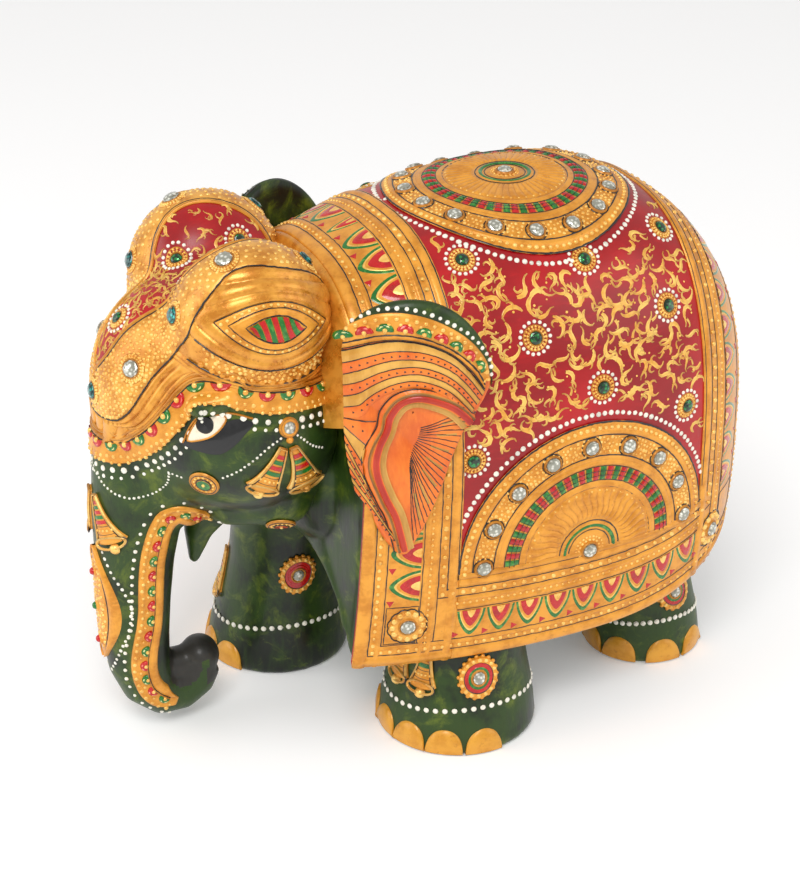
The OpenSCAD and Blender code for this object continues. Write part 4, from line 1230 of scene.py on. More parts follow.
def place_on_head(p, d):
    a, b = p[..., 0], p[..., 1]
    step = 0.8
    side = head_at(a, b + step) - head_at(a, b - step)
    over = head_at(a + step, b) - head_at(a - step, b)
    return turned(head_at(a, b) + unit(np.cross(over, side)) * np.broadcast_to(d, a.shape)[..., None])


def place_beside_head(side, y, z, d):
    start = np.stack([np.zeros_like(y), y, z], -1)
    x = reach(start, np.broadcast_to(np.array([1.0, 0, 0]), start.shape), 0)
    place = start + x[..., None] * np.array([1.0, 0, 0])
    step = 0.3
    slope = np.stack([lobe_sum(place - step * e) - lobe_sum(place + step * e) for e in np.eye(3)], -1)
    return turned((place + unit(slope) * np.broadcast_to(d, y.shape)[..., None]) * [side, 1, 1])


def leaf_to_side(p):
    y, z = spin(p, LEAF_TILT)
    return LEAF_CENTRE[0] + y, LEAF_CENTRE[1] + z


def leaf_level(y, z):
    """Nested leaf shapes round the temple: 1 on the leaf's outline, and the height above its long axis."""
    c, s = math.cos(LEAF_TILT), math.sin(LEAF_TILT)
    along = ((y - LEAF_CENTRE[0]) * c + (z - LEAF_CENTRE[1]) * s) / LEAF_L
    up = (-(y - LEAF_CENTRE[0]) * s + (z - LEAF_CENTRE[1]) * c) / LEAF_H
    return (np.abs(up) + np.sqrt(up * up + 4 * along * along)) / 2, up


HEAD = Surface(place_on_head)
FACE = {s: Surface(lambda p, d, s=s: place_beside_head(s, p[..., 0], p[..., 1], d)) for s in SIDES}
TEMPLE = {s: Surface(lambda p, d, s=s: place_beside_head(s, *leaf_to_side(p), d)) for s in SIDES}


def curve_at(curve, a):
    p = smooth_path(curve, 200)
    return np.interp(a, np.maximum.accumulate(p[:, 0]), p[:, 1])


def roll(v, low, high, rise):
    return rise * bump(v, (low + high) / 2, (high - low) / 2)


def gold_lift(a, b):
    """Height of the gold paste over the head: the stippled headdress, and rolled folds round the temples."""
    across = np.abs(b)
    p = head_at(a, b)
    level, up = leaf_level(p[..., 1], p[..., 2])
    above = ramp(up, -0.4, 0.4)
    folds = roll(level, 1.0, 1.36, 0.9) + roll(level, 1.36, 1.74, 1.3)
    folds = folds + above * roll(level, 1.74, 2.35, 1.5) + above * roll(level, 2.35, 3.0, 1.1)
    folds = folds + (1 - above) * (roll(level, 2.52, 2.68, 0.8) + roll(level, 2.68, 2.84, 0.8))
    edge, out = curve_at(BROW, a), curve_at(HEADDRESS_OUT, a)
    w = (across - out) / np.maximum(edge - out, 6)
    drape = roll(w, 0.02, 0.22, 1.1) + roll(w, 0.22, 0.46, 1.6) + roll(w, 0.46, 0.62, 0.9) + roll(w, 0.62,
                                                                                                  0.74, 0.7)
    outside = mix(folds, drape, ramp(a, 40, 56))
    return 1.0 + outside * ramp(across, out, out + 1.2) * (1 - ramp(across, edge - 1.5, edge))


def ribbon(shell, path, flip=1):
    """A narrow skin along a path on a shell, as its surface and the length of its run."""
    points = spaced(smooth_path(path, 30 * len(path)), 0.9)
    points, normals = shell.snap(points)
    for _ in range(6):
        normals[1:-1] = unit(normals[:-2] + 2 * normals[1:-1] + normals[2:])
    run = np.r_[0, np.cumsum(np.linalg.norm(np.diff(points, axis=0), axis=1))]
    side = flip * unit(np.cross(unit(np.gradient(points, axis=0)), normals))
    for _ in range(6):
        side[1:-1] = unit(side[:-2] + 2 * side[1:-1] + side[2:])

    def pick(values, s):
        return np.stack([np.interp(s, run, values[:, k]) for k in range(3)], -1)

    def place(p, d):
        s, t = p[..., 0], p[..., 1]
        up = unit(pick(normals, s))
        found, normal = shell.drop(pick(points, s) + pick(side, s) * t[..., None], up)
        return found + unit(unit(normal) + 2 * up) * np.broadcast_to(d, s.shape)[..., None]
    return Metric(place), run[-1]


def dab(piece, spot, r, paint, base):
    """A painted half-round, flat side up, round a gold bead, with a painted highlight in it."""
    w = np.linspace(math.pi * 0.98, math.pi * 2.02, 13)
    rows = [spot(polar(r * q, w), np.full(13, base + h)) for q, h in
            ((1, -0.1), (0.93, 0.6), (0.72, 1.0), (0.4, 0.9), (0.02, 0.7))]
    out = way_up(spot)
    piece.grid(np.stack(rows), paint, out=out)
    # Two pale arcs in each dab are a painted highlight: rose on red, pale yellow on green.
    shine = "rose_highlight" if paint == "red_enamel" else "pale_highlight"
    for a, b, q in ((1.15, 1.42, 0.7), (1.55, 1.72, 0.74)):
        arc = polar(r * q, np.linspace(math.pi * a, math.pi * b, 6))
        places = spot(arc, np.full(6, base + 0.95))
        up = spot(arc, np.full(6, base + 2.0)) - places
        piece.ridge(places, up, [0.1, 0.3, 0.38, 0.38, 0.3, 0.1], 0.16, shine, steps=3)
    at = spot(np.array([[0, -r * 0.12]]), np.array([base + 0.5]))
    piece.dots(at, out, r * 0.36, 1.0, "gold_bead")


def dab_row(piece, surface, start, stop, step, across, r, base, turn, first=0):
    count = max(1, int(round((stop - start) / step)))
    for k in range(count):
        s = start + (k + 0.5) * (stop - start) / count
        dab(piece, surface.at((s, across), turn), r, ("green_enamel", "red_enamel")[(k + first) % 2], base)


def filled(piece, surface, outline, lift, paint, rings=6):
    """A filled outline: lift is a height at the middle and one at the rim."""
    p = np.asarray(outline, float)
    centre = p.mean(0)
    rows = [surface.place(mix(centre, p, f), np.full(len(p), mix(lift[0], lift[1], f ** 2)))
            for f in np.linspace(0.02, 1, rings)]
    piece.grid(np.stack(rows), paint, wrap=True, out=stand(surface.place, centre[None])[1][0])


def headdress():
    gold = Piece("headdress_bands", "gold_relief")
    red = Piece("headdress_field", "red_lacquer")
    rows = np.linspace(-85, 113, 430)
    share = np.linspace(-1, 1, 321)
    a = np.repeat(rows[:, None], len(share), 1)
    b = share[None] * np.maximum(curve_at(BROW, rows), 0.2)[:, None]
    points = HEAD.place(np.stack([a, b], -1), gold_lift(a, b))
    gold.grid(points, "gold_ridge", out=turned_out(points))
    rows = np.linspace(-42, 78, 150)
    a = np.repeat(rows[:, None], 61, 1)
    b = np.linspace(-1, 1, 61)[None] * np.maximum(curve_at(HEADDRESS_IN, rows), 0.1)[:, None]
    edge = np.abs(np.linspace(-1, 1, 61))[None]
    points = HEAD.place(np.stack([a, b], -1), 1.45 - 0.6 * edge ** 20 * np.ones_like(a))
    red.grid(points, "red_lacquer", out=turned_out(points))
    rows = np.linspace(-42, 97.5, 200)
    for side in SIDES:
        low, high = curve_at(HEADDRESS_IN, rows), curve_at(HEADDRESS_OUT, rows)
        low = np.where(rows < 78, low, 0)
        t = np.linspace(0, 1, 25)
        a = np.repeat(rows[:, None], 25, 1)
        b = side * mix(low[:, None], high[:, None], t[None])
        lift = 1.5 - 0.5 * np.abs(2 * t[None] - 1) ** 12 + 0 * a
        points = HEAD.place(np.stack([a, b], -1), lift)
        gold.grid(points, "gold_stipple", out=turned_out(points))

    def in_band(p):
        low = np.where(p[:, 0] < 78, curve_at(HEADDRESS_IN, p[:, 0]), -1)
        across = np.abs(p[:, 1])
        return (across > low + 2.2) & (across < curve_at(HEADDRESS_OUT, p[:, 0]) - 2.0)
    stipple(gold, HEAD, in_band, (-41, -42), (97, 42), 2.0, 1.45, (0.55, 0.95))
    for side in SIDES:
        inner = [(x, side * y) for x, y in smooth_path(HEADDRESS_IN, 60)]
        outer = [(x, side * y) for x, y in smooth_path(HEADDRESS_OUT, 60)]
        line(gold, HEAD, inner, 0.75, 0.7, "gold_relief", 1.3)
        line(gold, HEAD, [(x, y + side * 1.2) for x, y in inner], 0.28, 0.14, "line_black", 1.5, wobble=0.06)
        line(gold, HEAD, outer, 0.36, 0.2, "line_black", 1.55, wobble=0.08)

    def in_field(p):
        return (np.abs(p[:, 1]) < curve_at(HEADDRESS_IN, p[:, 0]) - 1.8) & (
            np.hypot(p[:, 0, None] - GREENS[:, 0], p[:, 1, None] - GREENS[:, 1]).min(1) > 7.5)
    lifted = Surface(lambda p, d: place_on_head(p, np.asarray(d) + 1.42))
    brush_strokes(red, lifted, scattered(in_field, (-40, -21), (74, 21), 3.7, 5000), (4.4, 6.4))
    for name, word, spots, r, white in (("green", "green_stone", GREENS, 2.2, 18),
                                        ("teal", "teal_stone", TEALS, 3.0, 0),
                                        ("clear", "clear_stone", CLEARS, 3.1, 0)):
        stones = Piece("headdress_stones_" + name, word)
        for p in spots:
            set_stone(gold, stones, HEAD.at(p), r, word, 1.4, white, 0.9 if white else 0.7)
        stones.done()
    gold.done()
    red.done()


GREENS = np.array([(14, -10), (-14, -9), (-14, 9), (14, 10), (52, 0)], float)
TEALS = ((-25, 26), (-25, -26), (30, 31), (30, -31), (88, 0))
CLEARS = ((5, 28), (5, -28), (66, 24), (66, -24))


def turned_out(points):
    """Outward directions for the faces of a grid on the head."""
    middle = (points[:-1, :-1] + points[1:, 1:]) / 2
    return (middle - turned(SKULL)).reshape(-1, 3)


def brow_band(shell):
    piece = Piece("brow_band", "gold_relief")
    half = [HEAD.place(np.array([q]), np.zeros(1))[0] for q in BROW]
    other = [HEAD.place(np.array([(a, -b)]), np.zeros(1))[0] for a, b in BROW[-2::-1]]
    surface, run = ribbon(shell, half + other)
    s = np.linspace(0, run, int(run / 1.1))
    t = np.linspace(-4.8, 4.6, 20)
    sheet(piece, surface, s, t, lambda p: 1.3 + 0.35 * np.cos(p[..., 1] / 4.8 * 1.5) + 0 * p[..., 0],
          "gold_relief")
    for across, thick, rise in ((4.9, 0.8, 1.0), (6.5, 0.7, 0.8)):
        line(piece, surface, [(0, across), (run, across)], thick, rise, "gold_ridge", 1.2, gap=1.5)
    line(piece, surface, [(0, 3.5), (run, 3.5)], 0.3, 0.2, "line_black", 1.6, gap=1.5, wobble=0.06)
    for k, (start, stop) in enumerate(((2, run / 2), (run / 2, run - 2))):
        dab_row(piece, surface, start, stop, 8.4, 3.0, 3.3, 1.35, 0.0, k)
    for across, gap, r in ((-2.4, 3.2, 0.95), (-4.5, 2.9, 0.85), (1.9, 4.2, 0.8)):
        bead_row(piece, surface, [(0, across), (run, across)], gap, r, "gold_bead", 1.1, jitter=0.25)
    bead_row(piece, surface, [(0, -8.0), (run, -8.0)], 4.2, 1.2, "white_dot", 0.0, height=0.6)
    bead_row(piece, surface, [(0, -11.0), (run, -11.0)], 3.3, 0.8, "white_dot", 0.0, height=0.45)
    piece.done()


def leaf_outline(k, count=41):
    x = np.linspace(-1, 1, count)
    y = 1 - x * x
    loop = np.concatenate([np.stack([x, y], -1), np.stack([x[::-1], -y[::-1]], -1)[1:-1]])
    return loop * [LEAF_L * k, LEAF_H * k]


def temple_panel(side, word):
    piece = Piece("temple_panel_" + word, "gold_relief")
    surface = TEMPLE[side]
    out = turned([side, -35, 0]) - NECK
    levels = np.array([0.02, 0.2, 0.4, 0.5, 0.52, 0.56, 0.6, 0.66, 0.72, 0.78, 0.8, 0.86, 0.92, 0.98, 1.02])
    lift = np.array([2.5, 2.4, 2.2, 2.0, 2.3, 2.5, 2.4, 2.6, 2.8, 2.4, 1.9, 1.9, 1.9, 1.9, 1.0])
    rows = np.stack([surface.place(leaf_outline(k), np.full(80, h)) for k, h in zip(levels, lift)])
    piece.grid(rows, "gold_relief", wrap=True, out=out)
    for k, h in ((0.53, 2.35), (0.79, 2.3), (1.0, 1.7)):
        line(piece, surface, leaf_outline(k), 0.3, 0.2, "line_black", h, closed=True, wobble=0.05)
    bead_row(piece, surface, leaf_outline(0.9), 2.6, 0.72, "gold_bead", 1.9, closed=True)
    # The painted stripes in the middle lean forwards.
    x = np.linspace(-0.46, 0.46, 10) * LEAF_L
    for k in range(9):
        a, b = x[k], x[k] + (x[1] - x[0]) * 0.86
        rows = []
        for q in (a, (a + b) / 2, b):
            slant = np.linspace((q - 1.6, 1), (q + 1.6, -1), 7)
            along = np.clip(slant[:, 0], -0.47 * LEAF_L, 0.47 * LEAF_L)
            rows.append(np.stack([along,
                                  slant[:, 1] * (0.48 * LEAF_H * (1 - (along / (0.48 * LEAF_L)) ** 2))], -1))
        piece.grid(surface.place(np.stack(rows), np.full((3, 7), 2.65)), RED_GREEN[k % 2], out=out)
    half = leaf_outline(1)[40:]
    lower = np.concatenate([half[:1], half])[::-1]

    def under(k, limit):
        """The lower edge of the leaf, grown k times, as far as limit on both sides."""
        return (lower * k)[np.abs((lower * k)[:, 0]) < limit]
    for k in (1.75, 2.5):
        line(piece, surface, under(k, 24 + 1.5 * k), 0.34, 0.2, "line_black", 1.6, wobble=0.06)
    # The stippled crescent under the leaf, with lobes along its lower edge.
    for k in (1.92, 2.1, 2.28):
        bead_row(piece, surface, under(k, 23), 2.3, 0.8, "gold_bead", 1.0, jitter=0.3)
    bead_row(piece, surface, under(2.42, 24), 3.6, 1.5, "gold_relief", 1.0, jitter=0.1, height=0.9)
    bead_row(piece, surface, under(1.82, 24), 2.7, 0.75, "gold_bead", 1.1)
    piece.done()


def eye(piece, side):
    surface = FACE[side]
    patch = smooth_path([(-108, 141), (-104.5, 143.5), (-100, 145), (-95, 149.5), (-90, 151.8), (-84, 150.2),
                         (-87.5, 146),
                         (-92, 141.5), (-96.6, 138.6), (-102.5, 139)], 60, True)
    filled(piece, surface, patch, (0.75, 0.2), "eye_black")
    almond = smooth_path([(-106, 142.8), (-104.6, 147.2), (-101.4, 151.6), (-97, 153.2), (-93, 152.6),
                          (-95.4, 148.4),
                          (-99, 145.2), (-103, 143.4)], 50, True)
    filled(piece, surface, almond, (1.3, 0.45), "eye_white")
    line(piece, surface, almond, 0.42, 0.5, "gold_relief", 0.45, closed=True)
    line(piece, surface, smooth_path([(-107.5, 141.6), (-105.2, 147.6), (-101.6, 152.4), (-96.8, 154.2),
                                      (-90, 153.6),
                                      (-84, 151.6)], 40), 0.42, 0.5, "gold_relief", 0.2)
    spot = surface.at((-100, 149.6))
    disc(piece, spot, (3.3, 2.9, 0.05), (1.1, 1.5, 1.7), ("eye_black", "eye_black"))
    # A white dot on the pupil: a painted highlight, the eye's catchlight.
    piece.dots(spot(np.array([[-1.0, 1.1]]), np.array([1.6])), way_up(spot), 0.6, 0.25, "white_dot")


def bell(piece, shell, apex, front, rear, bands=4):
    """A raised bell from its top to the two ends of its mouth, banded above, with beads and a clapper."""
    apex, front, rear = (np.asarray(v, float) for v in (apex, front, rear))
    centre = (front + rear) / 2
    wide = (rear - front) / 2
    up = unit(shell.snap(((apex + centre) / 2)[None])[1][0])

    def place(p, d):
        u, v = p[..., 0], p[..., 1]
        w = 0.2 + 0.58 * u ** 1.1 + 0.24 * u ** 5
        down = u + 0.08 * np.sqrt(np.maximum(1 - v * v, 0)) * u ** 3
        q = apex + (centre - apex) * down[..., None] + wide * (v * w)[..., None]
        found, _ = shell.snap(q + up * 2)
        return found + up * np.broadcast_to(d, u.shape)[..., None]

    def rise(p):
        return 0.5 + 1.3 * np.sqrt(np.maximum(1 - p[..., 1] ** 2, 0)) * (0.5 + 0.5 * p[..., 0])

    def across(u, half, count):
        return np.stack([np.full(count, u), np.linspace(-half, half, count)], -1)
    u = np.linspace(0.01, 1, 26)
    sheet(piece, Surface(place), u, np.linspace(-1, 1, 17), rise, "gold_relief", 0.3)
    for k in range(bands):
        low = 0.14 + 0.5 * k / bands
        p = sheet_points(np.linspace(low, low + 0.34 / bands, 3), np.linspace(-0.76, 0.76, 9))
        piece.grid(place(p, rise(p) + 0.2), RED_GREEN[k % 2], out=up)
    rim = np.concatenate([np.stack([u, np.full(26, -0.93)], -1), np.stack([u[::-1], np.full(26, 0.93)], -1)])
    for paint, half, tall, inset in (("gold_bead", 0.6, 0.8, 1.0), ("line_black", 0.24, 0.14, 0.84)):
        q = rim * [1, inset]
        places = place(q, np.full(len(q), 0.9 if inset == 1.0 else 1.3))
        piece.ridge(places, up, half, tall, paint, closed=inset == 1.0)
    beads = across(0.74, 0.78, 5)
    piece.dots(place(beads, rise(beads)), up, 0.6, 0.5, "gold_bead")
    for h in (0.66, 0.82):
        ring = across(h, 0.86, 12)
        piece.ridge(place(ring, rise(ring)), up, 0.22, 0.16, "line_black", steps=3)
    mouth = np.stack([1.0 + 0.15 * np.cos(ROUND), 0.98 * np.sin(ROUND)], -1)
    q = centre + (centre - apex) * (mouth[:, :1] - 0.93) * 0.9 + wide * mouth[:, 1:]
    found, _ = shell.snap(q + up * 2)
    piece.ridge(found + up * 1.6, up, 0.55, 0.7, "gold_bead", closed=True)
    piece.ridge(found + up * 1.5 + (found - found.mean(0)) * 0.1, up, 0.25, 0.2, "line_black", closed=True)
    tip = centre + (centre - apex) * 0.2
    found, _ = shell.snap(tip[None] + up * 2)
    piece.dots(found, up, 2.3, 2.4, "gold_bead", 12)


def medal(piece, spot, r, core):
    disc(piece, spot, (r, r * 0.97, r * 0.8, r * 0.74, r * 0.5, r * 0.46, 0.05),
         (0.1, 1.1, 1.2, 0.9, 0.9, 1.3, 1.2),
         ("gold_relief", "gold_relief", "gold_relief", "gold_stipple", "gold_relief", core), 32)
    for q in (0.88, 0.52):
        circle_ridge(piece, spot, r * q, 0.26, 0.18, "line_black", 1.15)
    dot_ring(piece, spot, r * 0.68, 0.55, "gold_bead", 13, 0.9)
    dot_ring(piece, spot, 0.01, 0.7, "gold_bead", 1, 1.2)
    circle_ridge(piece, spot, r * 0.98, 0.55, 0.6, "gold_relief", 0.6)


def mirrored_path(points, side):
    return turned(np.asarray(points, float) * [side, 1, 1])


def face(shell):
    bells = {}
    for side, word in SIDE_WORDS.items():
        piece = Piece("cheek_bells_" + word, "gold_relief")
        for apex, front, rear in (((50, -73.5, 139.5), (46.5, -87.5, 125.5), (46, -74, 118.5)),
                                  ((50, -70, 139), (45, -70.8, 118), (36, -56, 121))):
            bell(piece, shell, *(mirrored_path(v, side) for v in (apex, front, rear)))
        eye(piece, side)
        small = ((50.2, -72.5, 143.5), (49.8, -78, 140.6), (49.4, -83, 137), (47.5, -89, 132),
                 (44.8, -95.1, 128.1)), \
                ((49.6, -69, 143.5), (48.9, -65.5, 140.5), (47.3, -60.5, 135.6), (44.5, -56.5, 133)), \
                ((4.1, -132.2, 117), (10.9, -129.5, 113), (16.6, -123.3, 111), (22, -116.4, 113),
                 (25.5, -111.5, 118.5),
                 (28.5, -110.7, 125)), ((28.5, -110.7, 125.8), (33, -107.5, 125)), ((1, -131, 119),
                                                                                    (2.5, -132, 117),
                                                                                    (4.1, -132.2, 117))
        for path in small:
            bead_row(piece, shell, mirrored_path(smooth_path(path, 40), side), 1.9, 0.55, "white_dot", 0.0,
                     height=0.35)
        bells[side] = piece
    medals = Piece("cheek_medals", "gold_relief")
    stones = Piece("bell_stones", "clear_stone")
    for side in SIDES:
        medal(medals, shell.at(mirrored_path((39.8, -101, 124.3), side)), 5.6, "green_enamel")
        medal(medals, shell.at(mirrored_path((31, -68.5, 99), side), along=(0, 1, 0)), 5.6, "red_enamel")
        spot = shell.at(mirrored_path((49.3, -70.9, 146.3), side))
        piece = bells[side]
        disc(piece, spot, (4.0, 3.8, 2.6, 0.05), (0.1, 1.0, 1.2, 1.0), ("gold_relief",) * 3)
        circle_ridge(piece, spot, 3.4, 0.6, 1.3, "gold_relief")
        stone(stones, spot, 2.4, "clear_stone", 0.8)
        piece.dots(spot(np.array([[0, -5.0]]), np.zeros(1)), way_up(spot), 1.5, 1.5, "gold_relief")
        piece.done()
    spot = HEAD.at((112, 0))
    set_stone(medals, stones, spot, 2.6, "clear_stone", 1.2, 0, 0.5)
    medals.done()
    stones.done()


# The line of painted half-rounds down each side of the trunk, from the jaw to the curl of the tip.
TRUNK_LINE = ((11, -92.5, 93.5), (17.5, -98.2, 99.2), (20.5, -104.4, 102.3), (19.4, -109, 100.5),
              (17.4, -112.2, 95.4),
              (16.6, -114.2, 89), (15.9, -115.6, 81.8), (15, -116.3, 74.2), (14.4, -116.7, 66.7),
              (13.9, -117, 59.2),
              (13.4, -117.8, 51.8), (13, -119, 45.5), (12.4, -120, 39.6), (12, -120.4, 33.3),
              (11.6, -119.6, 26.6),
              (11, -117, 20.3), (10.6, -112, 15.2), (10, -106.5, 12.6))


def trunk_bands(shell):
    for side, word in SIDE_WORDS.items():
        piece = Piece("trunk_band_" + word, "gold_relief")
        surface, run = ribbon(shell, mirrored_path(TRUNK_LINE, side), side)
        p = sheet_points(np.linspace(0, run, int(run)), np.linspace(-1, 1, 23))
        taper = np.minimum(1, 0.25 + 0.75 * np.minimum(p[..., 0], run - p[..., 0]) / 9)
        across = np.where(p[..., 1] > 0, 4.9, 5.7) * p[..., 1] * taper
        lift = 0.9 + 1.0 * bump(across, -3.7, 1.9) + 0.5 * bump(across, 3.8, 1.2)
        lift[:, [0, -1]] = -0.4
        lift[[0, -1]] = -0.4
        points = surface.place(np.stack([p[..., 0], across], -1), lift)
        piece.grid(points, "gold_relief", out=grid_out(surface, p))
        line(piece, surface, [(5, -1.5), (run - 5, -1.5)], 0.28, 0.2, "line_black", 1.1, wobble=0.05)
        line(piece, surface, [(5, -1.1), (run - 5, -1.1)], 0.5, 0.5, "gold_relief", 0.9)
        dab_row(piece, surface, 6, run - 4, 6.9, -0.9, 2.5, 0.9, math.pi, 1)
        bead_row(piece, surface, [(4, 3.5), (run - 4, 3.5)], 3.1, 0.85, "gold_bead", 1.0, jitter=0.15)
        bead_row(piece, surface, [(4, 1.4), (run - 4, 1.4)], 6.9, 0.6, "gold_bead", 1.0, jitter=0.15)
        bead_row(piece, surface, [(0, 7.0), (run, 7.0)], 3.6, 0.85, "white_dot", 0.0, height=0.45)
        bell(piece, shell, *(mirrored_path(v, side) for v in ((2.4, -132.9, 108), (4.6, -133, 88.5),
                                                              (16, -123.4, 94))), 5)
        swag = ((6.2, -132.6, 84), (9.4, -130.4, 76), (12.6, -127.4, 69.6), (14, -124.5, 62),
                (13.6, -124.9, 52),
                (10.5, -128.5, 42), (7.3, -130.3, 35), (3, -131, 29))
        bead_row(piece, shell, mirrored_path(smooth_path(swag, 60), side), 2.8, 0.75, "white_dot", 0.0,
                 height=0.4)
        piece.done()


def grid_out(surface, p):
    """Outward directions for the faces of a grid of surface coordinates."""
    middle = (p[:-1, :-1] + p[1:, 1:]) / 2
    return surface.normal(middle).reshape(-1, 3)


def trunk_plaque(shell):
    piece = Piece("trunk_plaque", "gold_relief")
    front = turned([0, -36, 0]) - NECK

    def place(p, d):
        z, v = p[..., 0], p[..., 1]
        share = np.clip((z - 33) / 52, 0, 1)
        half = 12.4 * np.sin(math.pi * share ** 0.9) ** 0.75
        start = turned(np.stack([v * half, -136 + 0.05 * (v * half) ** 2, z], -1))
        found, normal = shell.snap(start)
        return found + unit(normal + front) * np.broadcast_to(d, z.shape)[..., None]
    surface = Surface(place)
    p = sheet_points(np.linspace(33.4, 84.6, 60), np.linspace(-1, 1, 37))
    lift = 0.8 + 0.9 * bump(np.abs(p[..., 1]), 0.84, 0.14) + 0.3 * bump(p[..., 1], 0, 0.6)
    lift[:, [0, -1]] = -0.3
    piece.grid(place(p, lift), "gold_relief", out=front)
    for side in SIDES:
        line(piece, surface, [(36, side * 0.66), (82, side * 0.66)], 0.28, 0.2, "line_black", 0.95, gap=1.5)
        bead_row(piece, surface, [(40, side * 0.5), (79, side * 0.5)], 2.6, 0.7, "gold_bead", 0.9)
    stipple(piece, Surface(lambda q, d: place(q * [1, 0.1], d)), lambda q: np.abs(q[:, 1]) < 4.2, (42, -4.2),
            (77, 4.2), 1.7, 1.0)
    for z, paint in ((73, "red_enamel"), (57.5, "green_enamel"), (42, "red_enamel")):
        at = place(np.array([[z, 0.0]]), np.array([0.8]))
        piece.dots(at, front, 2.6, 1.0, "gold_relief", 12)
        piece.dots(at + front * 0.5, front, 1.6, 1.7, paint, 12)
    piece.done()


def collar():
    """The gold roll that closes the gap between the crown and the cloth."""
    piece = Piece("nape_collar", "gold_relief", extra=True)
    a = np.linspace(-1.2, 1.2, 121)
    rows = [skin_lean(CLOTH_FRONT + back, a, lift) for back, lift in
            ((1.5, 0.4), (0, 0.7), (-1.6, 0.3), (-3.2, -1.0), (-5.5, -3.0), (-9, -6.0), (-14, -11),
             (-20, -18))]
    piece.grid(np.stack(rows), "gold_ridge")
    piece.done()


def head():
    wood, points, faces = carved("head_carving", ["green_wood", "tip_grey"])
    own = turned(points, -HEAD_TURN)
    middle = np.array([own[list(f)].mean(0) for f in faces])
    grey = (middle[:, 1] > -108.5) & (middle[:, 1] < -86) & (middle[:, 2] > 16) & (middle[:, 2] < 46) & (
        np.abs(middle[:, 0]) < 8.6)
    wood.data.polygons.foreach_set("material_index", grey.astype(np.int32))
    finish_piece(wood, "green_wood", ("head_carving",))
    shell = Shell([(points, faces)])
    headdress()
    brow_band(shell)
    for side, word in SIDE_WORDS.items():
        temple_panel(side, word)
    face(shell)
    trunk_bands(shell)
    trunk_plaque(shell)


# ---- the ears ----

EAR_EDGE = ((-55.5, 181), (-52.5, 188), (-46, 193.5), (-37, 196), (-27, 194.5), (-17.5, 188.5), (-10, 179),
            (-5.5, 168),
            (-5.5, 160), (-10, 152), (-16, 143), (-20.5, 132), (-24, 121), (-28.5, 110), (-33.5, 100),
            (-38.5, 94),
            (-44, 99), (-49, 109), (-52.5, 121), (-54.5, 134), (-55.5, 150), (-56, 166))
EAR_MIDDLE = np.array([-34.0, 152.0])
# Curves on the ear, from its front edge backwards: under the rim, over the fold, round the fold to the tip.
UNDER_RIM = ((-55.8, 175.5), (-47, 179.3), (-38.7, 180.6), (-29.4, 178.7), (-20.6, 173.7), (-13.9, 166.4),
             (-8.4, 158.2))
OVER_FOLD = ((-55.5, 149), (-51, 151), (-47.5, 155.5), (-42.5, 160), (-36, 162.5), (-29, 161.4), (-22, 157.4),
             (-15, 149.2))
FOLD = ((-14.9, 147.6), (-20.4, 153.6), (-27, 157.2), (-33.2, 158.8), (-38.6, 157), (-42, 152), (-43.8, 146),
        (-47, 140.4),
        (-48.6, 134), (-48, 127.4), (-45.3, 119), (-42, 111), (-38.9, 97))
FOLD_FRONT = ((-45, 157), (-46.3, 150), (-49.2, 144), (-51.2, 138), (-51.8, 131), (-50.6, 123), (-47.6, 114),
              (-43.6, 105.5),
              (-39, 95.5))
EAR_TOP_ROWS = {"white": ((-53, 188.5), (-46.4, 192.9), (-38.2, 194), (-29.4, 191.6), (-22, 187.4),
                          (-15.1, 182), (-10.4, 176.5),
                          (-7, 170.5), (-6.4, 165)),
                "bead": ((-54.5, 185.5), (-47.5, 189.4), (-38.7, 190.2), (-29.4, 187.8), (-20.7, 182.9),
                         (-14.1, 176.7),
                         (-9.6, 169.8), (-8, 163.6)),
                "dab": ((-55, 182), (-51.1, 183.6), (-47.2, 185), (-42.9, 185.8), (-37.2, 185.6),
                        (-31.5, 184.2),
                        (-25.2, 181.3), (-18.7, 176.6), (-12.3, 170), (-9.4, 163.5))}


def ear_outer(y, z):
    """How far out the ear's face is, as in the CAD."""
    low = np.clip((120 - z) / 60, 0, 1)
    swell = np.sin(math.pi / 2 * np.clip((y + 58) / 54, 0, 1) ** 0.8)
    outer = mix(51.0, BODY_HALF_W + 1.1, swell) - 3.5 * low
    beside = on_side(1, y, z, 0.0)[..., 0] + PASTE + 4.2
    edge = CLOTH_FRONT + CLOTH_LEAN * (z - HEM_Z) / (BODY_TOP - HEM_Z)
    return np.maximum(outer, mix(outer, beside, ramp(y, edge - 7, edge + 2)))


def near_path(path, y, z):
    """Distance to a path, and the share of its length where it is nearest."""
    p = smooth_path(path, 120)
    d = np.hypot(y[..., None] - p[:, 0], z[..., None] - p[:, 1])
    k = d.argmin(-1)
    return d.min(-1), k / 119


def ear_shape(y, z):
    """Carving on the ear's face: a rolled fold, with a hollow behind it."""
    away, share = near_path(FOLD, y, z)
    fold = 2.3 * bump(away, 0, 3.2) * (1 - 0.4 * share)
    hollow = -3.2 * np.exp(-(((y + 35.5) / 6.5) ** 2 + ((z - 142) / 11) ** 2))
    lobe = 0.8 * np.exp(-(((y + 26) / 7) ** 2 + ((z - 145) / 9) ** 2))
    rim, _ = near_path(UNDER_RIM, y, z)
    groove = -0.7 * np.exp(-(rim / 2.2) ** 2)
    return ear_outer(y, z) - 1.2 + fold + hollow + lobe + groove


def place_on_ear(side, y, z, d):
    step = 0.4
    slope_y = (ear_outer(y + step, z) - ear_outer(y - step, z)) / (2 * step)
    slope_z = (ear_outer(y, z + step) - ear_outer(y, z - step)) / (2 * step)
    up = unit(np.stack([np.ones_like(y), -slope_y, -slope_z], -1))
    place = np.stack([ear_shape(y, z), y, z], -1) + up * np.broadcast_to(d, y.shape)[..., None]
    return place * [side, 1, 1]


EAR = {s: Surface(lambda p, d, s=s: place_on_ear(s, p[..., 0], p[..., 1], d)) for s in SIDES}


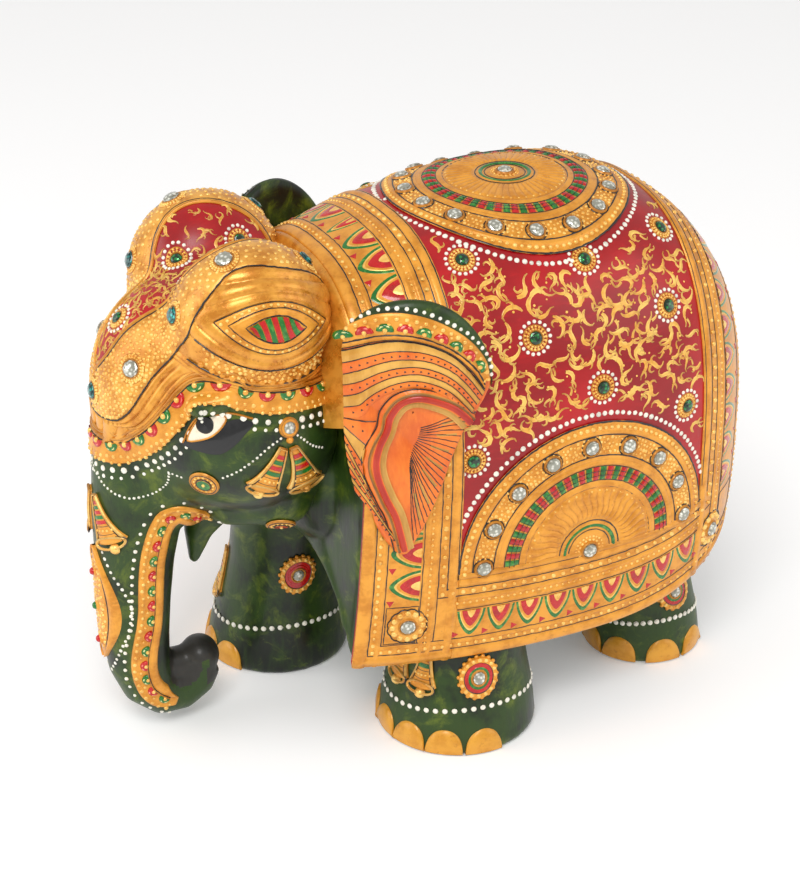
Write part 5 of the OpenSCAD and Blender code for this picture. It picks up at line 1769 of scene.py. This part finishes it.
def stripes(piece, surface, curves, paints, out, dashes):
    """Ribbons between neighbouring curves, with a thin black line on each and small dashes along some."""
    for k in range(len(curves) - 1):
        rows = np.stack([mix(curves[k], curves[k + 1], t) for t in np.linspace(0, 1, 4)])
        lift = 0.25 + 0.45 * np.sin(math.pi * np.linspace(0, 1, 4))[:, None] * np.ones(rows.shape[1])
        piece.grid(surface.place(rows, lift), paints[k % 2], out=out)
        line(piece, surface, curves[k], 0.26, 0.14, "line_black", 0.4, wobble=0.05)
        if (k + dashes) % 2 == 0:
            marks = spaced(mix(curves[k], curves[k + 1], 0.5), 2.6)[1:-1]
            for m in marks:
                triangle_dab(piece, surface.at(m), 0.55, "line_black", 0.65)


def ear(side, word):
    piece = Piece("ear_" + word, "ear_wood")
    surface = EAR[side]
    out = np.array([side, 0, 0.0])
    edge = smooth_path(EAR_EDGE, 260, True)
    rings = np.concatenate([np.linspace(0.01, 0.94, 60), [0.965, 0.985, 1.0]])
    drop = np.concatenate([np.zeros(60), [-0.25, -0.8, -1.7]])
    rows = np.stack([surface.place(mix(EAR_MIDDLE, edge, f), np.full(len(edge), h)) for f,
                     h in zip(rings, drop)])
    piece.grid(rows, "ear_orange", wrap=True, out=out)
    # The edge and the back of the ear are green wood.
    back = []
    for f, h in ((1.0, -1.7), (1.0, -2.8), (0.985, -3.7), (0.9, -4.2), (0.6, -4.6), (0.3, -5.4),
                 (0.01, -5.6)):
        back.append(surface.place(mix(EAR_MIDDLE, edge, f), np.full(len(edge), h)))
    piece.grid(np.stack(back), "green_wood", wrap=True, out=-out)
    top = smooth_path(UNDER_RIM, 60)
    over = smooth_path(OVER_FOLD, 60)
    upper = [mix(top, over, t) for t in np.linspace(0, 1, 7)]
    stripes(piece, surface, upper, ("ear_gold", "ear_orange"), out, 1)
    front = smooth_path(FOLD_FRONT, 100)
    lower = []
    for t in np.linspace(0, 1, 10):
        start = np.array([-55.6 + 2.2 * t ** 2, 149 - 29 * t])
        end = front[int(min(99, 12 + 87 * t ** 0.8))]
        sag = np.array([0.6, -1.6]) * t
        lower.append(smooth_path([start, mix(start, end, 0.5) + sag, end], 30))
    stripes(piece, surface, lower, ("ear_orange", "ear_gold"), out, 0)
    # Thin lines fan out of the hollow to the rear edge.
    ends = smooth_path([(-12, 150.5), (-17.5, 142), (-21.5, 132.5), (-25, 121.5), (-29.5, 110.5),
                        (-35, 100.5)], 22)
    for k, end in enumerate(ends):
        start = np.array([-33.5, 145.5]) + np.array([2.2 * math.cos(k / 7), -k * 0.75])
        bend = mix(start, end, 0.5) + np.array([-0.6, 1.8 - 0.14 * k])
        path = smooth_path([start, bend, end], 16)
        line(piece, surface, path, 0.24, 0.13, "line_black", 0.1, wobble=0.04)
        if k % 3 == 1:
            path = smooth_path([mix(start, bend, 0.8), mix(bend, end, 0.75) + [0.4, 0.6]], 10)
            line(piece, surface, path, 0.8, 0.12, "ear_gold", 0.05)
    fold = smooth_path(FOLD, 140)
    line(piece, surface, fold, 1.2, 0.5, "ear_red", 0.3)
    line(piece, surface, offset_path(fold, 1.8), 0.6, 0.6, "ear_gold", 0.3)
    line(piece, surface, offset_path(fold, -2.5), 1.5, 0.45, "ear_gold", 0.15)
    line(piece, surface, offset_path(fold, 3.2), 0.28, 0.2, "line_black", 0.45)
    # The rim over the top.
    top_edge = smooth_path(EAR_EDGE[:9], 80)
    white, bead, dabs = (smooth_path(EAR_TOP_ROWS[k], 80) for k in ("white", "bead", "dab"))
    low = smooth_path(UNDER_RIM, 80)
    inner = mix(low, dabs, 0.2)
    levels = ((inner, 0.0), (mix(low, dabs, 0.28), 1.4), (mix(low, dabs, 0.6), 1.9), (dabs, 1.6),
              (mix(dabs, white, 0.5), 1.6),
              (mix(bead, white, 0.45), 1.3), (mix(bead, white, 0.6), 0.2))
    rows = np.stack([surface.place(p, np.full(80, h)) for p, h in levels])
    piece.grid(rows, "gold_relief", out=out)
    for path, h in ((low, 0.0), (mix(low, dabs, 0.22), 1.0), (mix(low, dabs, 0.66), 1.9)):
        line(piece, surface, path, 0.36, 0.22, "line_black", h, wobble=0.05)
    green = np.stack([surface.place(p, np.full(80, h)) for p, h in (
        (mix(bead, white, 0.5), 0.6), (white, 0.6), (mix(EAR_MIDDLE, top_edge, 0.985), 0.1),
        (mix(EAR_MIDDLE, top_edge, 1.003), -1.6))])
    piece.grid(green, "green_wood", out=out)
    bead_row(piece, surface, white, 3.0, 0.85, "white_dot", 0.6, height=0.5)
    bead_row(piece, surface, bead, 3.2, 0.95, "gold_bead", 1.5)
    bead_row(piece, surface, mix(low, dabs, 0.9), 6.4, 0.6, "gold_bead", 1.7)
    spots = spaced(dabs, 6.4)
    for k, p in enumerate(spots[:-1]):
        dab(piece, spot_along(surface, p, spots[k + 1] - p), 2.8, ("green_enamel", "red_enamel")[k % 2], 1.5)
    bead_row(piece, surface, mix(dabs, bead, 0.55), 3.4, 0.7, "gold_bead", 1.6, jitter=0.3)
    piece.done()


def offset_path(path, distance):
    ahead = unit(np.gradient(path, axis=0))
    return path + np.stack([ahead[:, 1], -ahead[:, 0]], -1) * distance


def spot_along(surface, p, ahead):
    """Offsets from p in coordinates that are already in mm, with x along the given direction."""
    e1 = unit(np.asarray(ahead, float))
    e2 = np.array([e1[1], -e1[0]])

    def spot(xy, lift):
        xy = np.asarray(xy, float)
        return surface.place(p + xy[..., :1] * e1 + xy[..., 1:] * e2, lift)
    return spot


# ---- legs and tail ----

LEG_H = 86.0
LEGS = (((BODY_HALF_W - 30.2, -3), 32.0, (BODY_HALF_W - 33.2, 6)),
        ((33.2 - BODY_HALF_W, -45), 29.8, (36.2 - BODY_HALF_W, -36)),
        ((BODY_HALF_W - 48.2, 95), 24.5, (BODY_HALF_W - 43.2, 88)),
        ((35.2 - BODY_HALF_W, 84), 24.5, (39.2 - BODY_HALF_W, 78)))
LEG_PROFILE = ((0, 0.955), (0.02, 1), (0.06, 0.985), (0.14, 0.955), (0.22, 0.91), (0.3, 0.855), (0.39, 0.8),
               (0.5, 0.765),
               (0.72, 0.785), (1, 0.84))
ROSETTES = ((0, 32, -12), (1, 44, -9), (2, 32, 8), (3, 32, 172))
TOENAILS = ((-120, -92, -64, -36, -7), (-69, -97, -125, -153, -181), (-92, -54, -9, 32),
            (-88, -126, -171, 148))
LEG_BELLS = ((0, -60), (0, -88), (1, -112), (1, -140))


def place_on_leg(leg, turn, z, d):
    ground, radius, top = LEGS[leg]
    t = np.clip(z / LEG_H, 0, 1)
    r = radius * np.interp(t, *zip(*LEG_PROFILE)) + d
    w = np.radians(turn)
    x = mix(ground[0], top[0], t ** 1.5) + r * np.cos(w)
    y = mix(ground[1], top[1], t ** 1.5) + r * np.sin(w)
    return np.stack([x, y, z + 0 * w], -1)


def leg_spot(leg, turn, z):
    """Offsets in mm round and up a leg."""
    radius = LEGS[leg][1] * 0.88

    def spot(xy, lift):
        xy = np.asarray(xy, float)
        return place_on_leg(leg, turn + np.degrees(xy[..., 0] / radius), z + xy[..., 1],
                            np.asarray(lift, float))
    return spot


def legs(shell):
    rosettes = Piece("leg_rosettes", "gold_relief")
    stones = Piece("leg_stones", "clear_stone")
    for leg, z, turn in ROSETTES:
        spot = leg_spot(leg, turn, z)
        core = ("red_enamel", "green_enamel", "gold_relief") if leg != 1 else ("red_enamel", "red_enamel",
                                                                               "gold_relief")
        disc(rosettes, spot, (8.3, 8.0, 6.2, 5.9, 4.6, 4.4, 3.4, 3.2, 0.05),
             (0.2, 1.4, 1.5, 1.3, 1.3, 1.5, 1.5, 1.3, 1.2),
             ("gold_relief", "gold_relief", "line_black", core[0], core[0], core[1], core[1], core[2]), 40)
        dot_ring(rosettes, spot, 7.1, 0.95, "gold_bead", 16, 1.2)
        dot_ring(rosettes, spot, 8.3, 0.9, "gold_relief", 18, 0.4)
        circle_ridge(rosettes, spot, 3.0, 0.6, 1.2, "gold_relief", 0.9)
        stone(stones, spot, 2.5, "clear_stone", 1.3)
    for leg in range(4):
        z = 18 if leg != 1 else 20
        turn = np.arange(-178, 180, 7.4)
        at = place_on_leg(leg, turn, z + 1.6 * np.cos(np.radians(turn * 2)), 0.0)
        away = place_on_leg(leg, turn, z, 1.0) - place_on_leg(leg, turn, z, 0.0)
        rosettes.dots(at, away, 1.15, 0.6, "white_dot")
        for nail in TOENAILS[leg]:
            w = np.linspace(0, math.pi, 21)
            rim = np.stack([6.6 * np.cos(w), 10.8 * np.sin(w) ** 0.7], -1)
            base = np.stack([6.6 * np.cos(w), 0.3 + 0 * w], -1)
            spot = leg_spot(leg, nail, 0.2)
            rows = [spot(mix(base, rim, f), np.full(21, h)) for f,
                    h in ((0, 0.8), (0.5, 1.0), (0.94, 0.7), (1, -0.3))]
            rosettes.grid(np.stack(rows), "toenail", out=way_up(spot))
    rosettes.done()
    stones.done()
    bells = Piece("leg_bells", "gold_relief")
    for leg, turn in LEG_BELLS:
        apex = place_on_leg(leg, np.array(turn), np.array(45.0), 0.0)
        ends = [place_on_leg(leg, np.array(turn + q), np.array(27.0), 0.0) for q in (-14, 14)]
        bell(bells, shell, apex, *ends)
    bells.done()


def tail():
    """The carved tail with its painted tuft."""
    piece, points, faces = carved("tail", ["green_wood", "tip_grey"], 0.7, 6)
    middle = np.array([points[list(f)].mean(0)[2] for f in faces])
    low = points[:, 2].min()
    piece.data.polygons.foreach_set("material_index", (middle < low + 16).astype(np.int32))
    finish_piece(piece, "green_wood", ("tail",))


# ---- the room: floor, lights and camera ----

def stage():
    material = bpy.data.materials.new("floor_white")
    material.use_nodes = True
    shader = next(n for n in material.node_tree.nodes if n.type == "BSDF_PRINCIPLED")
    shader.inputs["Base Color"].default_value = (0.93, 0.93, 0.93, 1)
    shader.inputs["Roughness"].default_value = 0.75
    shader.inputs["Emission Color"].default_value = (1, 1, 1, 1)
    shader.inputs["Emission Strength"].default_value = 0.14
    mesh = bpy.data.meshes.new("floor")
    size = 4.0
    mesh.from_pydata([(-size, -size, 0), (size, -size, 0), (size, size, 0), (-size, size, 0)], [],
                     [(0, 1, 2, 3)])
    mesh.materials.append(material)
    floor = bpy.data.objects.new("floor", mesh)
    link(floor)
    world = bpy.data.worlds.new("studio")
    world.use_nodes = True
    back = world.node_tree.nodes["Background"]
    back.inputs["Color"].default_value = (1.0, 0.99, 0.98, 1)
    back.inputs["Strength"].default_value = 0.66
    bpy.context.scene.world = world
    bpy.context.scene.view_settings.view_transform = "Standard"
    for name, place, size, power in (("key", (0.75, -0.55, 1.15), 0.55, 9.0),
                                     ("fill", (0.9, 0.9, 0.7), 0.9, 3.5),
                                     ("front", (-0.3, -1.2, 0.6), 0.8, 4.5)):
        light = bpy.data.lights.new(name, "AREA")
        light.energy = power
        light.size = size
        lamp = bpy.data.objects.new(name, light)
        lamp.location = place
        lamp.rotation_euler = (Vector((0, 0, 0.1)) - Vector(place)).to_track_quat("-Z", "Y").to_euler()
        link(lamp)


def camera():
    azimuth, elevation, distance = math.radians(63.7), math.radians(27.5), 0.961
    target = Vector((-0.0006, -0.0065, 0.1017))
    back = Vector((math.sin(azimuth) * math.cos(elevation), -math.cos(azimuth) * math.cos(elevation),
                   math.sin(elevation)))
    data = bpy.data.cameras.new("camera")
    data.lens = 97.8
    data.sensor_width = 36
    data.clip_start = 0.05
    view = bpy.data.objects.new("camera", data)
    view.location = target + back * distance
    view.rotation_euler = back.to_track_quat("Z", "Y").to_euler()
    link(view)
    bpy.context.scene.camera = view


body, body_points, body_faces = carved("body_carving", ["green_wood"])
finish_piece(body, "green_wood", ("body_carving",))
saddle_cloth()
cloth_borders()
medallions()
red_field()
head()
collar()
for side, word in SIDE_WORDS.items():
    ear(side, word)
legs(Shell([(body_points, body_faces)]))
tail()
stage()
camera()
